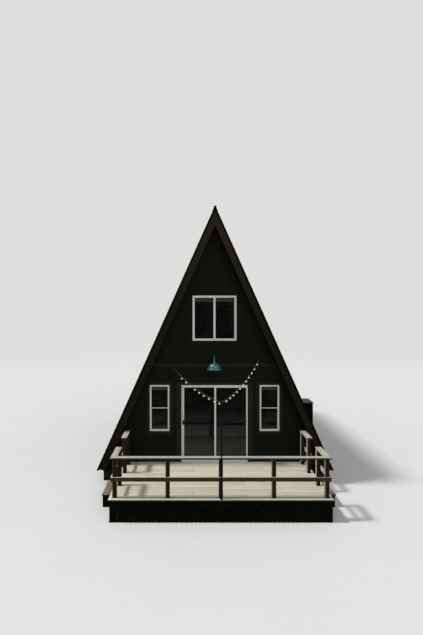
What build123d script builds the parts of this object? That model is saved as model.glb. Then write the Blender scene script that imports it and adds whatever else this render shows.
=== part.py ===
from build123d import *
import os
from math import cos, radians, sin, sqrt, tan

# A-frame cabin with a front deck, in millimetres.
# X runs across the cabin, Y from the front wall to the back wall, and Z up from the ground.
# The origin is on the ground, under the middle of the front wall.

# Heights and the roof's form
deck_top = 500.0
ridge_height = 7360.0
half_angle = 24.1
eave_height = 380.0
cabin_length = 7320.0
overhang = 300.0

# Thickness of each layer
wall_t = 120.0
rafter_depth = 165.0
covering_t = 40.0
rake_t = 25.0
rake_joint = 2.0
covering_lip = 10.0
ridge_cap_width = 130.0
ridge_cap_t = 6.0
casing_t = 20.0

# Foundation and floors
foundation_t = 150.0
foundation_setback = 25.0
foundation_height = 245.0
floor_t = 40.0
joist_t = 38.0
floor_bays = 12
loft_over_seam = 50.0
loft_floor_t = 28.0
loft_length = 4740.0
loft_beam_width = 89.0
loft_beam_depth = 140.0
loft_beam_count = 5

# Wall seams
seam_height = 3080.0
band_height = 90.0
upper_seam_height = 5800.0
upper_band_height = 20.0

# Sliding door
door_width = 1790.0
door_height = 2075.0
door_frame_face = 18.0
door_sill_height = 45.0
door_frame_proud = 15.0
leaf_t = 38.0
leaf_proud = 2.0
leaf_gap = 6.0
leaf_clearance = 5.0
meeting_stile = 46.0
meeting_stile_left = -3.0
lock_stile = 48.0
fixed_stile = 20.0
leaf_top_rail = 53.0
leaf_bottom_rail = 90.0
glass_t = 20.0
roller_length = 80.0
roller_t = 12.0
roller_inset = 160.0
seat_gap = 0.3
handle_height = 1053.0
handle_plate_length = 126.0
handle_plate_width = 44.0
handle_plate_t = 7.0
handle_length = 96.0
handle_width = 20.0
handle_reach = 38.0
handle_foot = 18.0

# Windows
window_head = 2078.0
side_window_height = 1244.0
side_window_door_gap = 107.5
side_window_slope_gap = 47.5
side_frame_face = 24.0
side_sash_face = 20.0
side_sash_lap = 20.0
upper_window_width = 1190.0
upper_window_height = 1219.0
upper_window_place = 0.5663
upper_frame_face = 26.0
upper_sash_face = 30.0
upper_sash_lap = 3.0
window_proud = 12.0
window_depth = 80.0
sash_t = 30.0
pane_t = 12.0
back_window_x = 1150.0

# Casing boards round the openings
side_casing = 80.0
upper_casing = 26.0
door_casing = 140.0
door_head_casing = 80.0
board_joint = 1.0

# Deck
deck_depth = 2450.0
deck_shift = 12.0
deck_board_t = 28.0
deck_nosing = 45.0
deck_joist_depth = 184.0
deck_bays = 8
deck_post = 89.0
deck_post_inset = 420.0

# Lattice under the deck
slat_t = 8.0
slat_width = 46.0
slat_pitch = 100.0
slat_angle = 23.0
slat_end_count = 8
lattice_trim = 65.0

# Railing
rail_height = 889.0
rail_post = 89.0
rail_slope_gap = 38.7
rail_post_setback = 90.0
rail_post_inset = 84.0
rail_cap_width = 140.0
rail_cap_t = 38.0
rail_cap_end = 45.0
rail_cap_front = 40.0
front_post_count = 5
mid_rail_top = 465.0
mid_rail_height = 89.0
mid_rail_t = 38.0
side_rail_length = 854.0
step_gap = 733.0
rear_rail_end = 145.0

# Steps in the gaps of the side rails
step_rise = 200.0
step_run = 286.0
step_width = 900.0
step_side_t = 38.0
step_overhang = 20.0

# Barn lamp over the door
lamp_x = -20.0
lamp_place = 0.2127
lamp_plate_radius = 40.0
lamp_plate_t = 12.0
lamp_tube_radius = 11.0
lamp_lead = 30.0
lamp_rise_radius = 70.0
lamp_rise_angle = 60.0
lamp_bend_radius = 100.0
lamp_drop = 50.0
shade_radius = 203.0
shade_rim_radius = 180.0
shade_rim_height = 27.0
shade_neck_radius = 30.0
shade_neck_height = 70.0
shade_neck_top_radius = 17.0
shade_height = 182.0
shade_belly_radius = 150.0
shade_belly_height = 118.0
shade_t = 3.0
lamp_bulb_radius = 42.0
lamp_bulb_over_rim = 76.0
lamp_socket_radius = 16.0

# Pole and string lights
pole_radius = 14.0
pole_height = 2120.0
pole_x = 22.0
pole_gap = 0.3
pole_cap_radius = 18.0
pole_cap_height = 24.0
pole_cap_slope = 20.0
cable_radius = 4.5
bend_share = 0.45
hook_plate_radius = 16.0
hook_plate_t = 10.0
hook_pin_radius = 5.0
hook_reach = 40.0
hook_left = (-1116.0, 3052.0)
hook_right = (1200.0, 3265.0)
bulb_neck_radius = 6.0
bulb_socket_radius = 13.0
bulb_collar_radius = 10.0
bulb_socket_height = 22.0
bulb_neck_height = 6.0
bulb_radius = 22.0

# Cupboard that leans on the right roof slope
cupboard_past_eave = 93.0
cupboard_front = 1940.0
cupboard_depth = 650.0
cupboard_height = 1695.0
cupboard_cap_t = 20.0
cupboard_cap_overhang = 25.0

# Worked out from the values above
tan_half = tan(radians(half_angle))
cos_half = cos(radians(half_angle))
sin_half = sin(radians(half_angle))
lining = covering_t + rafter_depth
front_face = -wall_t / 2
back_face = cabin_length + wall_t / 2
roof_front = front_face - overhang
roof_back = back_face + overhang
wall_split = seam_height + band_height / 2
seam_top = seam_height + band_height
loft_top = seam_height + loft_over_seam


def half_width(z, depth):
    """Half of the cabin's width at height z, on the plane this deep inside the roof's face."""
    return (ridge_height - z) * tan_half - depth / cos_half


def peak(depth):
    """Height at which the two planes this deep inside the roof's faces meet."""
    return ridge_height - depth / sin_half


def block(x, y, z, mode=Mode.ADD):
    """Add a block that fills the ranges x, y and z to the part that is being made."""
    with BuildSketch(Plane.XY.offset(z[0])) as outline:
        with Locations(((x[0] + x[1]) / 2, (y[0] + y[1]) / 2)):
            Rectangle(x[1] - x[0], y[1] - y[0])
    extrude(outline.sketch, amount=z[1] - z[0], mode=mode)


def slab(points, y, mode=Mode.ADD):
    """Add a slab with this outline as seen from the front, between the two Y values."""
    with BuildSketch(Plane.XZ.offset(-y[1])) as outline:
        with BuildLine():
            Polyline(*points, close=True)
        make_face()
    extrude(outline.sketch, amount=y[1] - y[0], mode=mode)


def ring(x, z, hole_x, hole_z, y):
    """Add a flat frame with the outer ranges x and z and a rectangular hole."""
    with BuildSketch(Plane.XZ.offset(-y[1])) as outline:
        with Locations(((x[0] + x[1]) / 2, (z[0] + z[1]) / 2)):
            Rectangle(x[1] - x[0], z[1] - z[0])
        with Locations(((hole_x[0] + hole_x[1]) / 2, (hole_z[0] + hole_z[1]) / 2)):
            Rectangle(hole_x[1] - hole_x[0], hole_z[1] - hole_z[0], mode=Mode.SUBTRACT)
    extrude(outline.sketch, amount=y[1] - y[0])


def grown(span, by):
    """A range made longer by this much at each end."""
    return (span[0] - by, span[1] + by)


def inward(face, side, near, far):
    """Y range between two depths behind an outer face; side is 1 at the front, -1 at the back."""
    return tuple(sorted((face + side * near, face + side * far)))


def around(middle, size):
    """Range of this size about a middle."""
    return (middle - size / 2, middle + size / 2)


# Outer ranges of the openings in the walls
door_x = around(0, door_width)
door_z = (deck_top, deck_top + door_height)

# The side windows and their casings fill the wall between the door's casing and the roof slope
side_window_z = (deck_top + window_head - side_window_height, deck_top + window_head)
side_window_inner = door_width / 2 + door_casing + side_window_door_gap + side_casing
side_window_outer = (
    half_width(side_window_z[1] + side_casing, lining) - side_window_slope_gap - side_casing
)
side_window_x = (side_window_inner + side_window_outer) / 2
side_window_width = side_window_outer - side_window_inner
side_windows_x = [around(side * side_window_x, side_window_width) for side in (-1, 1)]
back_windows_x = [around(side * back_window_x, side_window_width) for side in (-1, 1)]

# The upper window stands between its lowest place, on the seam, and its highest, at the slopes
upper_outer_x = upper_window_width / 2 + upper_casing
upper_outer_z = upper_window_height / 2 + upper_casing
upper_lowest = seam_top + upper_outer_z
upper_highest = ridge_height - (upper_outer_x + lining / cos_half) / tan_half - upper_outer_z
upper_middle = upper_lowest + upper_window_place * (upper_highest - upper_lowest)
upper_window_x = around(0, upper_window_width)
upper_window_z = around(upper_middle, upper_window_height)

# Foundation walls
sole = half_width(deck_top, covering_t)
foundation_x = sole - foundation_setback
end_walls_y = [around(0, foundation_t), around(cabin_length, foundation_t)]

with BuildPart() as foundation_ends:
    for wall_y in end_walls_y:
        block((-foundation_x, foundation_x), wall_y, (0, foundation_height))

with BuildPart() as foundation_sides:
    for side in (-1, 1):
        wall_x = sorted((side * (foundation_x - foundation_t), side * foundation_x))
        block(wall_x, (end_walls_y[0][1], end_walls_y[1][0]), (0, foundation_height))

# Floor frame: joists between two rim boards, with the floor on them
floor_bottom = deck_top - floor_t
frame_z = (foundation_height, floor_bottom)
frame_bay = (cabin_length + wall_t - joist_t) / floor_bays

with BuildPart() as floor_rims:
    for side in (-1, 1):
        floor_rim_x = sorted((side * (sole - joist_t), side * sole))
        block(floor_rim_x, (front_face, back_face), frame_z)

with BuildPart() as floor_joists:
    for bay in range(floor_bays + 1):
        joist_y = front_face + bay * frame_bay
        block((joist_t - sole, sole - joist_t), (joist_y, joist_y + joist_t), frame_z)

with BuildPart() as cabin_floor:
    block((-sole, sole), (front_face, back_face), (floor_bottom, deck_top))

# Loft on tie beams, open at the back
beam_z = (loft_top - loft_floor_t - loft_beam_depth, loft_top - loft_floor_t)
beam_step = (loft_length - loft_beam_width) / (loft_beam_count - 1)

with BuildPart() as loft_beams:
    for index in range(loft_beam_count):
        beam_y = wall_t / 2 + index * beam_step
        slab(
            [
                (-half_width(beam_z[0], lining), beam_z[0]),
                (half_width(beam_z[0], lining), beam_z[0]),
                (half_width(beam_z[1], lining), beam_z[1]),
                (-half_width(beam_z[1], lining), beam_z[1]),
            ],
            (beam_y, beam_y + loft_beam_width),
        )

with BuildPart() as loft_floor:
    slab(
        [
            (-half_width(beam_z[1], lining), beam_z[1]),
            (half_width(beam_z[1], lining), beam_z[1]),
            (half_width(loft_top, lining), loft_top),
            (-half_width(loft_top, lining), loft_top),
        ],
        (wall_t / 2, wall_t / 2 + loft_length),
    )

# Front wall, in pieces beside and over the doorway
front_wall_y = (-wall_t / 2, wall_t / 2)


def wall_beside_door(side, window_x):
    """Add the wall from the doorway out to the roof slope, with its window cut through."""
    slab(
        [
            (side * door_width / 2, deck_top),
            (side * half_width(deck_top, lining), deck_top),
            (side * half_width(wall_split, lining), wall_split),
            (side * door_width / 2, wall_split),
        ],
        front_wall_y,
    )
    block(window_x, front_wall_y, side_window_z, mode=Mode.SUBTRACT)


with BuildPart() as front_wall_left:
    wall_beside_door(-1, side_windows_x[0])

with BuildPart() as front_wall_right:
    wall_beside_door(1, side_windows_x[1])

with BuildPart() as front_wall_header:
    block(door_x, front_wall_y, (door_z[1], wall_split))


def gable(y):
    """Add the triangle of wall over the seam, with the upper window cut through."""
    slab(
        [
            (-half_width(wall_split, lining), wall_split),
            (half_width(wall_split, lining), wall_split),
            (0, peak(lining)),
        ],
        y,
    )
    block(upper_window_x, y, upper_window_z, mode=Mode.SUBTRACT)


with BuildPart() as front_gable:
    gable(front_wall_y)

# Back wall, with two narrow windows and the same gable
back_wall_y = (cabin_length - wall_t / 2, cabin_length + wall_t / 2)

with BuildPart() as back_wall:
    slab(
        [
            (-half_width(deck_top, lining), deck_top),
            (half_width(deck_top, lining), deck_top),
            (half_width(wall_split, lining), wall_split),
            (-half_width(wall_split, lining), wall_split),
        ],
        back_wall_y,
    )
    for window_x in back_windows_x:
        block(window_x, back_wall_y, side_window_z, mode=Mode.SUBTRACT)

with BuildPart() as back_gable:
    gable(back_wall_y)

# Flat bands over the panel seams, front and back
band_y = [
    (front_face - casing_t, front_face),
    (back_face, back_face + casing_t),
]
band_z = [
    (seam_height, seam_height + band_height),
    (upper_seam_height, upper_seam_height + upper_band_height),
]

with BuildPart() as wall_bands:
    for low, high in band_z:
        for y in band_y:
            slab(
                [
                    (-half_width(low, lining), low),
                    (half_width(low, lining), low),
                    (half_width(high, lining), high),
                    (-half_width(high, lining), high),
                ],
                y,
            )


def casing(x, z, width, y):
    """Add four casing boards round a window, butted with a hairline joint."""
    for side, edge in ((-1, x[0]), (1, x[1])):
        block(sorted((edge, edge + side * width)), y, z)
    for side, edge in ((-1, z[0]), (1, z[1])):
        level = sorted((edge + side * board_joint, edge + side * width))
        block(grown(x, width), y, level)


# Casing boards round the doorway and the windows
with BuildPart() as front_casings:
    for window_x in side_windows_x:
        casing(window_x, side_window_z, side_casing, band_y[0])
    casing(upper_window_x, upper_window_z, upper_casing, band_y[0])
    for side in (-1, 1):
        jamb_x = sorted((side * door_width / 2, side * (door_width / 2 + door_casing)))
        block(jamb_x, band_y[0], door_z)
    block(
        grown(door_x, door_casing),
        band_y[0],
        (door_z[1] + board_joint, door_z[1] + door_head_casing),
    )

with BuildPart() as back_casings:
    for window_x in back_windows_x:
        casing(window_x, side_window_z, side_casing, band_y[1])
    casing(upper_window_x, upper_window_z, upper_casing, band_y[1])

# Roof: two structural slopes that stand on the floor, each with its covering
slope_y = (roof_front + rake_t, roof_back - rake_t)
covering_y = (roof_front - covering_lip, roof_back + covering_lip)


def roof_slope(side):
    """Add one slope of rafters and lining, cut plumb at the ridge and level at the floor."""
    slab(
        [
            (side * half_width(deck_top, covering_t), deck_top),
            (0, peak(covering_t)),
            (0, peak(lining)),
            (side * half_width(deck_top, lining), deck_top),
        ],
        slope_y,
    )


def roof_covering(side):
    """Add the boards and shingles of one slope, down to the eave."""
    slab(
        [
            (side * half_width(eave_height, 0), eave_height),
            (0, ridge_height),
            (0, peak(covering_t)),
            (side * half_width(eave_height, covering_t), eave_height),
        ],
        covering_y,
    )


with BuildPart() as roof_left:
    roof_slope(-1)

with BuildPart() as roof_right:
    roof_slope(1)

with BuildPart() as roof_cover_left:
    roof_covering(-1)

with BuildPart() as roof_cover_right:
    roof_covering(1)

# Ridge cap folded over both slopes
cap_drop = ridge_cap_width * cos_half
cap_reach = ridge_cap_width * sin_half

with BuildPart() as ridge_cap:
    slab(
        [
            (0, ridge_height),
            (cap_reach, ridge_height - cap_drop),
            (cap_reach + ridge_cap_t * cos_half, ridge_height - cap_drop + ridge_cap_t * sin_half),
            (0, ridge_height + ridge_cap_t / sin_half),
            (-cap_reach - ridge_cap_t * cos_half, ridge_height - cap_drop + ridge_cap_t * sin_half),
            (-cap_reach, ridge_height - cap_drop),
        ],
        covering_y,
    )

# Rake boards on the ends of the slopes, with a plumb joint at the peak


def rakes(y):
    """Add the pair of boards that close the ends of the two slopes."""
    for side in (-1, 1):
        slab(
            [
                (side * half_width(eave_height, covering_t), eave_height),
                (side * rake_joint / 2, peak(covering_t) - rake_joint / 2 / tan_half),
                (side * rake_joint / 2, peak(lining) - rake_joint / 2 / tan_half),
                (side * half_width(eave_height, lining), eave_height),
            ],
            y,
        )


with BuildPart() as front_rakes:
    rakes((roof_front, roof_front + rake_t))

with BuildPart() as back_rakes:
    rakes((roof_back - rake_t, roof_back))


def sashes(x, z, face, sash_face, lap, along_x, wall_face, side):
    """Ranges of a window's two sashes and their panes, as (x, z, hole x, hole z, y)."""
    inner_x = grown(x, -face)
    inner_z = grown(z, -face)
    found = []
    for index in (0, 1):
        sash_x = inner_x
        sash_z = inner_z
        if along_x:
            middle = sum(inner_x) / 2
            ends = (inner_x[0], middle + lap / 2, middle - lap / 2, inner_x[1])
            sash_x = ends[2 * index:2 * index + 2]
        else:
            middle = sum(inner_z) / 2
            ends = (middle - lap / 2, inner_z[1], inner_z[0], middle + lap / 2)
            sash_z = ends[2 * index:2 * index + 2]
        near = index * sash_t
        y = inward(wall_face, side, near, near + sash_t)
        found.append((sash_x, sash_z, grown(sash_x, -sash_face), grown(sash_z, -sash_face), y))
    return found


def window_frame(x, z, face, sash_face, lap, along_x, wall_face, side):
    """Add a window's outer frame and its two sashes, one behind the other."""
    y = inward(wall_face, side, -window_proud, window_depth)
    ring(x, z, grown(x, -face), grown(z, -face), y)
    for sash_x, sash_z, hole_x, hole_z, sash_y in sashes(
        x, z, face, sash_face, lap, along_x, wall_face, side
    ):
        ring(sash_x, sash_z, hole_x, hole_z, sash_y)


def window_panes(x, z, face, sash_face, lap, along_x, wall_face, side):
    """Add the pane of glass of each sash."""
    for sash_x, sash_z, hole_x, hole_z, sash_y in sashes(
        x, z, face, sash_face, lap, along_x, wall_face, side
    ):
        block(hole_x, around(sum(sash_y) / 2, pane_t), hole_z)


upper_sizes = (upper_frame_face, upper_sash_face, upper_sash_lap, True)
side_sizes = (side_frame_face, side_sash_face, side_sash_lap, False)

with BuildPart() as upper_window_frame:
    window_frame(upper_window_x, upper_window_z, *upper_sizes, front_face, 1)

with BuildPart() as side_window_frames:
    for window_x in side_windows_x:
        window_frame(window_x, side_window_z, *side_sizes, front_face, 1)

with BuildPart() as front_window_glass:
    window_panes(upper_window_x, upper_window_z, *upper_sizes, front_face, 1)
    for window_x in side_windows_x:
        window_panes(window_x, side_window_z, *side_sizes, front_face, 1)

with BuildPart() as back_window_frames:
    window_frame(upper_window_x, upper_window_z, *upper_sizes, back_face, -1)
    for window_x in back_windows_x:
        window_frame(window_x, side_window_z, *side_sizes, back_face, -1)

with BuildPart() as back_window_glass:
    window_panes(upper_window_x, upper_window_z, *upper_sizes, back_face, -1)
    for window_x in back_windows_x:
        window_panes(window_x, side_window_z, *side_sizes, back_face, -1)

# Sliding door: a fixed leaf in the outer track and a moving leaf in the inner one
leaf_x = grown(door_x, -door_frame_face)
leaf_z = (deck_top + door_sill_height, door_z[1] - door_frame_face)
frame_y = (front_face - door_frame_proud, wall_t / 2)
fixed_y = (front_face - leaf_proud, front_face - leaf_proud + leaf_t)
moving_y = (fixed_y[1] + leaf_gap, fixed_y[1] + leaf_gap + leaf_t)
meeting_x = (meeting_stile_left, meeting_stile_left + meeting_stile)

with BuildPart() as door_frame:
    ring(door_x, door_z, leaf_x, leaf_z, frame_y)

fixed_hole_x = (meeting_x[1], leaf_x[1] - fixed_stile)
fixed_hole_z = (leaf_z[0] + leaf_bottom_rail, leaf_z[1] - leaf_top_rail)

with BuildPart() as door_fixed_panel:
    ring((meeting_x[0], leaf_x[1]), leaf_z, fixed_hole_x, fixed_hole_z, fixed_y)

with BuildPart() as door_fixed_glass:
    block(fixed_hole_x, around(sum(fixed_y) / 2, glass_t), fixed_hole_z)

moving_x = (leaf_x[0] + leaf_clearance, meeting_x[1])
moving_z = grown(leaf_z, -leaf_clearance)
moving_hole_x = (moving_x[0] + lock_stile, meeting_x[0])
moving_mid_y = sum(moving_y) / 2

with BuildPart() as door_sliding_panel:
    ring(moving_x, moving_z, moving_hole_x, fixed_hole_z, moving_y)
    for roller_x in (moving_x[0] + roller_inset, moving_x[1] - roller_inset):
        block(
            around(roller_x, roller_length),
            around(moving_mid_y, roller_t),
            (leaf_z[0] + seat_gap, moving_z[0]),
        )

with BuildPart() as door_sliding_glass:
    block(moving_hole_x, around(moving_mid_y, glass_t), fixed_hole_z)

# Pull handles on both faces of the moving leaf's lock stile: an oval plate with a grip on two feet
handle_x = moving_x[0] + lock_stile / 2
handle_z = deck_top + handle_height

with BuildPart() as door_handle:
    for face_y, out in ((moving_y[0], -1), (moving_y[1], 1)):
        with BuildSketch(Plane.XZ.offset(-face_y)) as plate:
            with Locations((handle_x, handle_z)):
                SlotOverall(handle_plate_length, handle_plate_width, rotation=90)
        extrude(plate.sketch, amount=-out * handle_plate_t)
        grip_y = sorted((face_y + out * (handle_reach - handle_width / 2), face_y + out * handle_reach))
        foot_y = sorted((face_y, face_y + out * handle_reach))
        block(around(handle_x, handle_width), grip_y, around(handle_z, handle_length))
        for end in (-1, 1):
            foot_z = handle_z + end * (handle_length - handle_foot) / 2
            block(around(handle_x, handle_width), foot_y, around(foot_z, handle_foot))

# The rail clears the roof's inner face, and the deck reaches a little past the rail's posts
cap_outer = half_width(deck_top + rail_height, lining) - rail_slope_gap
post_outer = cap_outer - rail_cap_end
rail_post_x = post_outer - rail_post / 2
deck_width = 2 * (post_outer + rail_post_inset)


def deck_side(side, near, far):
    """X range between two distances from the deck's middle, on its left or right side."""
    return tuple(sorted((deck_shift + side * near, deck_shift + side * far)))


# Deck: joists and rim on posts, with the boards on top
deck_front = front_face - deck_depth
deck_x = around(deck_shift, deck_width)
board_z = (deck_top - deck_board_t, deck_top)
rim_x = grown(deck_x, -deck_nosing)
rim_y = (deck_front + deck_nosing, front_face)
deck_joist_z = (board_z[0] - deck_joist_depth, board_z[0])

with BuildPart() as deck_boards:
    block(deck_x, (deck_front, front_face), board_z)

with BuildPart() as deck_rims:
    for y in ((rim_y[0], rim_y[0] + joist_t), (rim_y[1] - joist_t, rim_y[1])):
        block(rim_x, y, deck_joist_z)

with BuildPart() as deck_joists:
    deck_bay = (rim_x[1] - rim_x[0] - joist_t) / deck_bays
    for bay in range(deck_bays + 1):
        joist_x = rim_x[0] + bay * deck_bay
        block((joist_x, joist_x + joist_t), grown(rim_y, -joist_t), deck_joist_z)

with BuildPart() as deck_posts:
    for post_x in (rim_x[0] + deck_post / 2, deck_shift, rim_x[1] - deck_post / 2):
        for post_y in (rim_y[0] + deck_post / 2, rim_y[1] - deck_post_inset):
            block(around(post_x, deck_post), around(post_y, deck_post), (0, deck_joist_z[0]))


def lattice(plane, length):
    """Add a lattice of two layers of slats that cross, between two upright trim boards."""
    count = int(length / slat_pitch) + slat_end_count
    for layer, lean in enumerate((-slat_angle, slat_angle)):
        with BuildSketch(plane.offset(layer * slat_t)) as slats:
            with GridLocations(slat_pitch, 0, count, 1):
                Rectangle(slat_width, 2 * board_z[0], rotation=lean)
            Rectangle(length, board_z[0], mode=Mode.INTERSECT)
            for end in (-1, 1):
                with Locations((end * (length - lattice_trim) / 2, 0)):
                    Rectangle(lattice_trim, board_z[0])
        extrude(slats.sketch, amount=slat_t)


# Lattice skirts on the rim, from the boards down to the ground
lattice_t = 2 * slat_t
rim_out = (rim_x[1] - rim_x[0]) / 2
lattice_out = rim_out + lattice_t
side_lattice_y = (rim_y[0], -foundation_t / 2)

with BuildPart() as front_lattice:
    lattice(
        Plane(origin=(deck_shift, rim_y[0], board_z[0] / 2), x_dir=(1, 0, 0), z_dir=(0, -1, 0)),
        2 * lattice_out,
    )

with BuildPart() as side_lattices:
    for side in (-1, 1):
        lattice(
            Plane(
                origin=(deck_shift + side * rim_out, sum(side_lattice_y) / 2, board_z[0] / 2),
                x_dir=(0, side, 0),
                z_dir=(side, 0, 0),
            ),
            side_lattice_y[1] - side_lattice_y[0],
        )

# Railing posts, caps and mid rails, with a gap for the step on each side
post_front = deck_front + rail_post_setback
cap_z = (deck_top + rail_height - rail_cap_t, deck_top + rail_height)
post_z = (deck_top, cap_z[0])
mid_z = (deck_top + mid_rail_top - mid_rail_height, deck_top + mid_rail_top)
cap_front = post_front - rail_cap_front
gap_front = deck_front + side_rail_length
gap_back = gap_front + step_gap
rail_back = front_face - rear_rail_end
post_step = 2 * rail_post_x / (front_post_count - 1)

with BuildPart() as front_rail_posts:
    for index in range(front_post_count):
        post_x = deck_shift - rail_post_x + index * post_step
        block(around(post_x, rail_post), (post_front, post_front + rail_post), post_z)

with BuildPart() as side_rail_posts:
    for side in (-1, 1):
        for post_y in (gap_front - rail_post, gap_back, rail_back - rail_post):
            post_x = around(deck_shift + side * rail_post_x, rail_post)
            block(post_x, (post_y, post_y + rail_post), post_z)

with BuildPart() as front_rail_cap:
    block(around(deck_shift, 2 * cap_outer), (cap_front, cap_front + rail_cap_width), cap_z)

with BuildPart() as side_rail_caps:
    for side in (-1, 1):
        cap_x = deck_side(side, cap_outer - rail_cap_width, cap_outer)
        block(cap_x, (cap_front + rail_cap_width, gap_front), cap_z)
        block(cap_x, (gap_back, rail_back), cap_z)

with BuildPart() as front_mid_rail:
    block(
        grown(around(deck_shift, 2 * post_outer), mid_rail_t),
        (post_front - mid_rail_t, post_front),
        mid_z,
    )

with BuildPart() as side_mid_rails:
    for side in (-1, 1):
        mid_x = deck_side(side, post_outer, post_outer + mid_rail_t)
        block(mid_x, (post_front, gap_front), mid_z)
        block(mid_x, (gap_back, rail_back), mid_z)

# One box step in each gap
tread_z = (deck_top - step_rise - deck_board_t, deck_top - step_rise)
step_y = around((gap_front + gap_back) / 2, step_width)
step_outer = deck_width / 2 + step_run

with BuildPart() as step_treads:
    for side in (-1, 1):
        tread_x = deck_side(side, lattice_out, step_outer)
        block(tread_x, step_y, tread_z)

with BuildPart() as step_boxes:
    for side in (-1, 1):
        box_x = deck_side(side, lattice_out, step_outer - step_overhang)
        box_y = grown(step_y, -step_overhang)
        inner_x = deck_side(side, lattice_out, step_outer - step_overhang - step_side_t)
        block(box_x, box_y, (0, tread_z[0]))
        block(inner_x, grown(box_y, -step_side_t), (0, tread_z[0]), mode=Mode.SUBTRACT)

# Barn lamp: plate and bent tube on the wall, and an open shade; the free wall between the band
# and the upper window's casing sets its height
plate_face = front_face - lamp_plate_t
lamp_climb = (lamp_rise_radius + lamp_bend_radius) * (1 - cos(radians(lamp_rise_angle)))
lamp_lowest = seam_top + lamp_plate_radius
lamp_highest = upper_middle - upper_outer_z - lamp_climb - lamp_tube_radius
lamp_plate_z = lamp_lowest + lamp_place * (lamp_highest - lamp_lowest)

with BuildPart() as lamp_arm:
    with BuildSketch(Plane.XZ.offset(-front_face)):
        with Locations((lamp_x, lamp_plate_z)):
            Circle(lamp_plate_radius)
    extrude(amount=lamp_plate_t)
    with BuildLine(Plane.YZ.offset(lamp_x)) as bend:
        lead = Line((plate_face, lamp_plate_z), (plate_face - lamp_lead, lamp_plate_z))
        rise = JernArc(lead @ 1, lead % 1, lamp_rise_radius, -lamp_rise_angle)
        over = JernArc(rise @ 1, rise % 1, lamp_bend_radius, 90 + lamp_rise_angle)
        drop = Line(over @ 1, (over @ 1) + Vector(0, 0, -lamp_drop))
    with BuildSketch(Plane.XZ.offset(-plate_face)):
        with Locations((lamp_x, lamp_plate_z)):
            Circle(lamp_tube_radius)
    sweep(path=bend.wires()[0])

lamp_end = drop @ 1
lamp_axis = Axis((lamp_x, lamp_end.Y, 0), (0, 0, 1))
neck_top = lamp_end.Z + shade_neck_height / 2
neck_bottom = neck_top - shade_neck_height
rim_z = neck_bottom - shade_height
rim_top = rim_z + shade_rim_height


def shade_side(cut):
    """Points of the shade's side from the rim to the neck, this far inside its outer face."""
    return (
        (lamp_x + shade_radius - cut, rim_z),
        (lamp_x + shade_rim_radius - cut, rim_top - cut),
        (lamp_x + shade_belly_radius - cut, rim_z + shade_belly_height - cut),
        (lamp_x + shade_neck_radius - cut, neck_bottom - cut),
    )


with BuildPart() as lamp_shade:
    with BuildSketch(Plane.XZ.offset(-lamp_end.Y)):
        with BuildLine():
            outer_side = shade_side(0)
            inner_side = shade_side(shade_t)
            outer = ThreePointArc(*outer_side[1:])
            inner = ThreePointArc(*inner_side[1:])
            Polyline(
                outer @ 1, (lamp_x + shade_neck_top_radius, neck_top), (lamp_x + lamp_tube_radius, neck_top),
                (lamp_x + lamp_tube_radius, neck_top - shade_t), inner @ 1,
            )
            Polyline(outer_side[1], outer_side[0], inner_side[0], inner_side[1])
        make_face()
    revolve(axis=lamp_axis)

with BuildPart() as lamp_bulb:
    with BuildSketch(Plane.XZ.offset(-lamp_end.Y)):
        socket_top = neck_top - shade_neck_height / 2
        bulb_middle = rim_z + lamp_bulb_over_rim
        with BuildLine():
            bulb_bottom = (lamp_x, bulb_middle - lamp_bulb_radius)
            bulb_rise = sqrt(lamp_bulb_radius**2 - lamp_socket_radius**2)
            shoulder = (lamp_x + lamp_socket_radius, bulb_middle + bulb_rise)
            ThreePointArc(bulb_bottom, (lamp_x + lamp_bulb_radius, bulb_middle), shoulder)
            Polyline(
                shoulder, (lamp_x + lamp_socket_radius, socket_top), (lamp_x, socket_top), bulb_bottom,
            )
        make_face()
    revolve(axis=lamp_axis)

# Pole for the string lights, on the deck in front of the middle post
pole_y = cap_front - pole_radius - pole_gap
pole_top = deck_top + pole_height

with BuildPart() as light_pole:
    with BuildSketch(Plane.XY.offset(deck_top)):
        with Locations((pole_x, pole_y)):
            Circle(pole_radius)
    extrude(amount=pole_height)
    with BuildSketch(Plane.XY.offset(pole_top)):
        with Locations((pole_x, pole_y)):
            Circle(pole_cap_radius)
    extrude(amount=pole_cap_height, taper=pole_cap_slope)

with BuildPart() as wall_hooks:
    for hook_x, hook_z in (hook_left, hook_right):
        for radius, reach in ((hook_plate_radius, hook_plate_t), (hook_pin_radius, hook_reach)):
            with BuildSketch(Plane.XZ.offset(-front_face)) as round_face:
                with Locations((hook_x, hook_z)):
                    Circle(radius)
            extrude(round_face.sketch, amount=reach)

# Route of each cable, from its wall hook to the pole, in the hanging curve that the picture shows
left_route = [
    (-1116, -98, 3052), (-1062, -211, 3009), (-1008, -323, 2969), (-955, -436, 2930),
    (-901, -548, 2894), (-847, -661, 2859), (-793, -774, 2827), (-739, -886, 2797),
    (-686, -999, 2769), (-632, -1112, 2743), (-578, -1224, 2720), (-524, -1337, 2698),
    (-470, -1449, 2679), (-416, -1562, 2661), (-363, -1675, 2646), (-309, -1787, 2633),
    (-255, -1900, 2622), (-201, -2013, 2613), (-147, -2125, 2606), (-94, -2238, 2602),
    (-40, -2350, 2599), (14, -2463, 2599),
]
right_route = [
    (1200, -98, 3265), (1151, -197, 3215), (1102, -295, 3168), (1054, -394, 3122),
    (1005, -492, 3078), (956, -591, 3036), (907, -689, 2996), (858, -788, 2958),
    (810, -886, 2922), (761, -985, 2887), (712, -1083, 2855), (663, -1182, 2824),
    (614, -1280, 2796), (566, -1379, 2769), (517, -1478, 2744), (468, -1576, 2721),
    (419, -1675, 2700), (371, -1773, 2680), (322, -1872, 2663), (273, -1970, 2648),
    (224, -2069, 2634), (175, -2167, 2623), (127, -2266, 2613), (78, -2364, 2605),
    (29, -2463, 2599),
]


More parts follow.
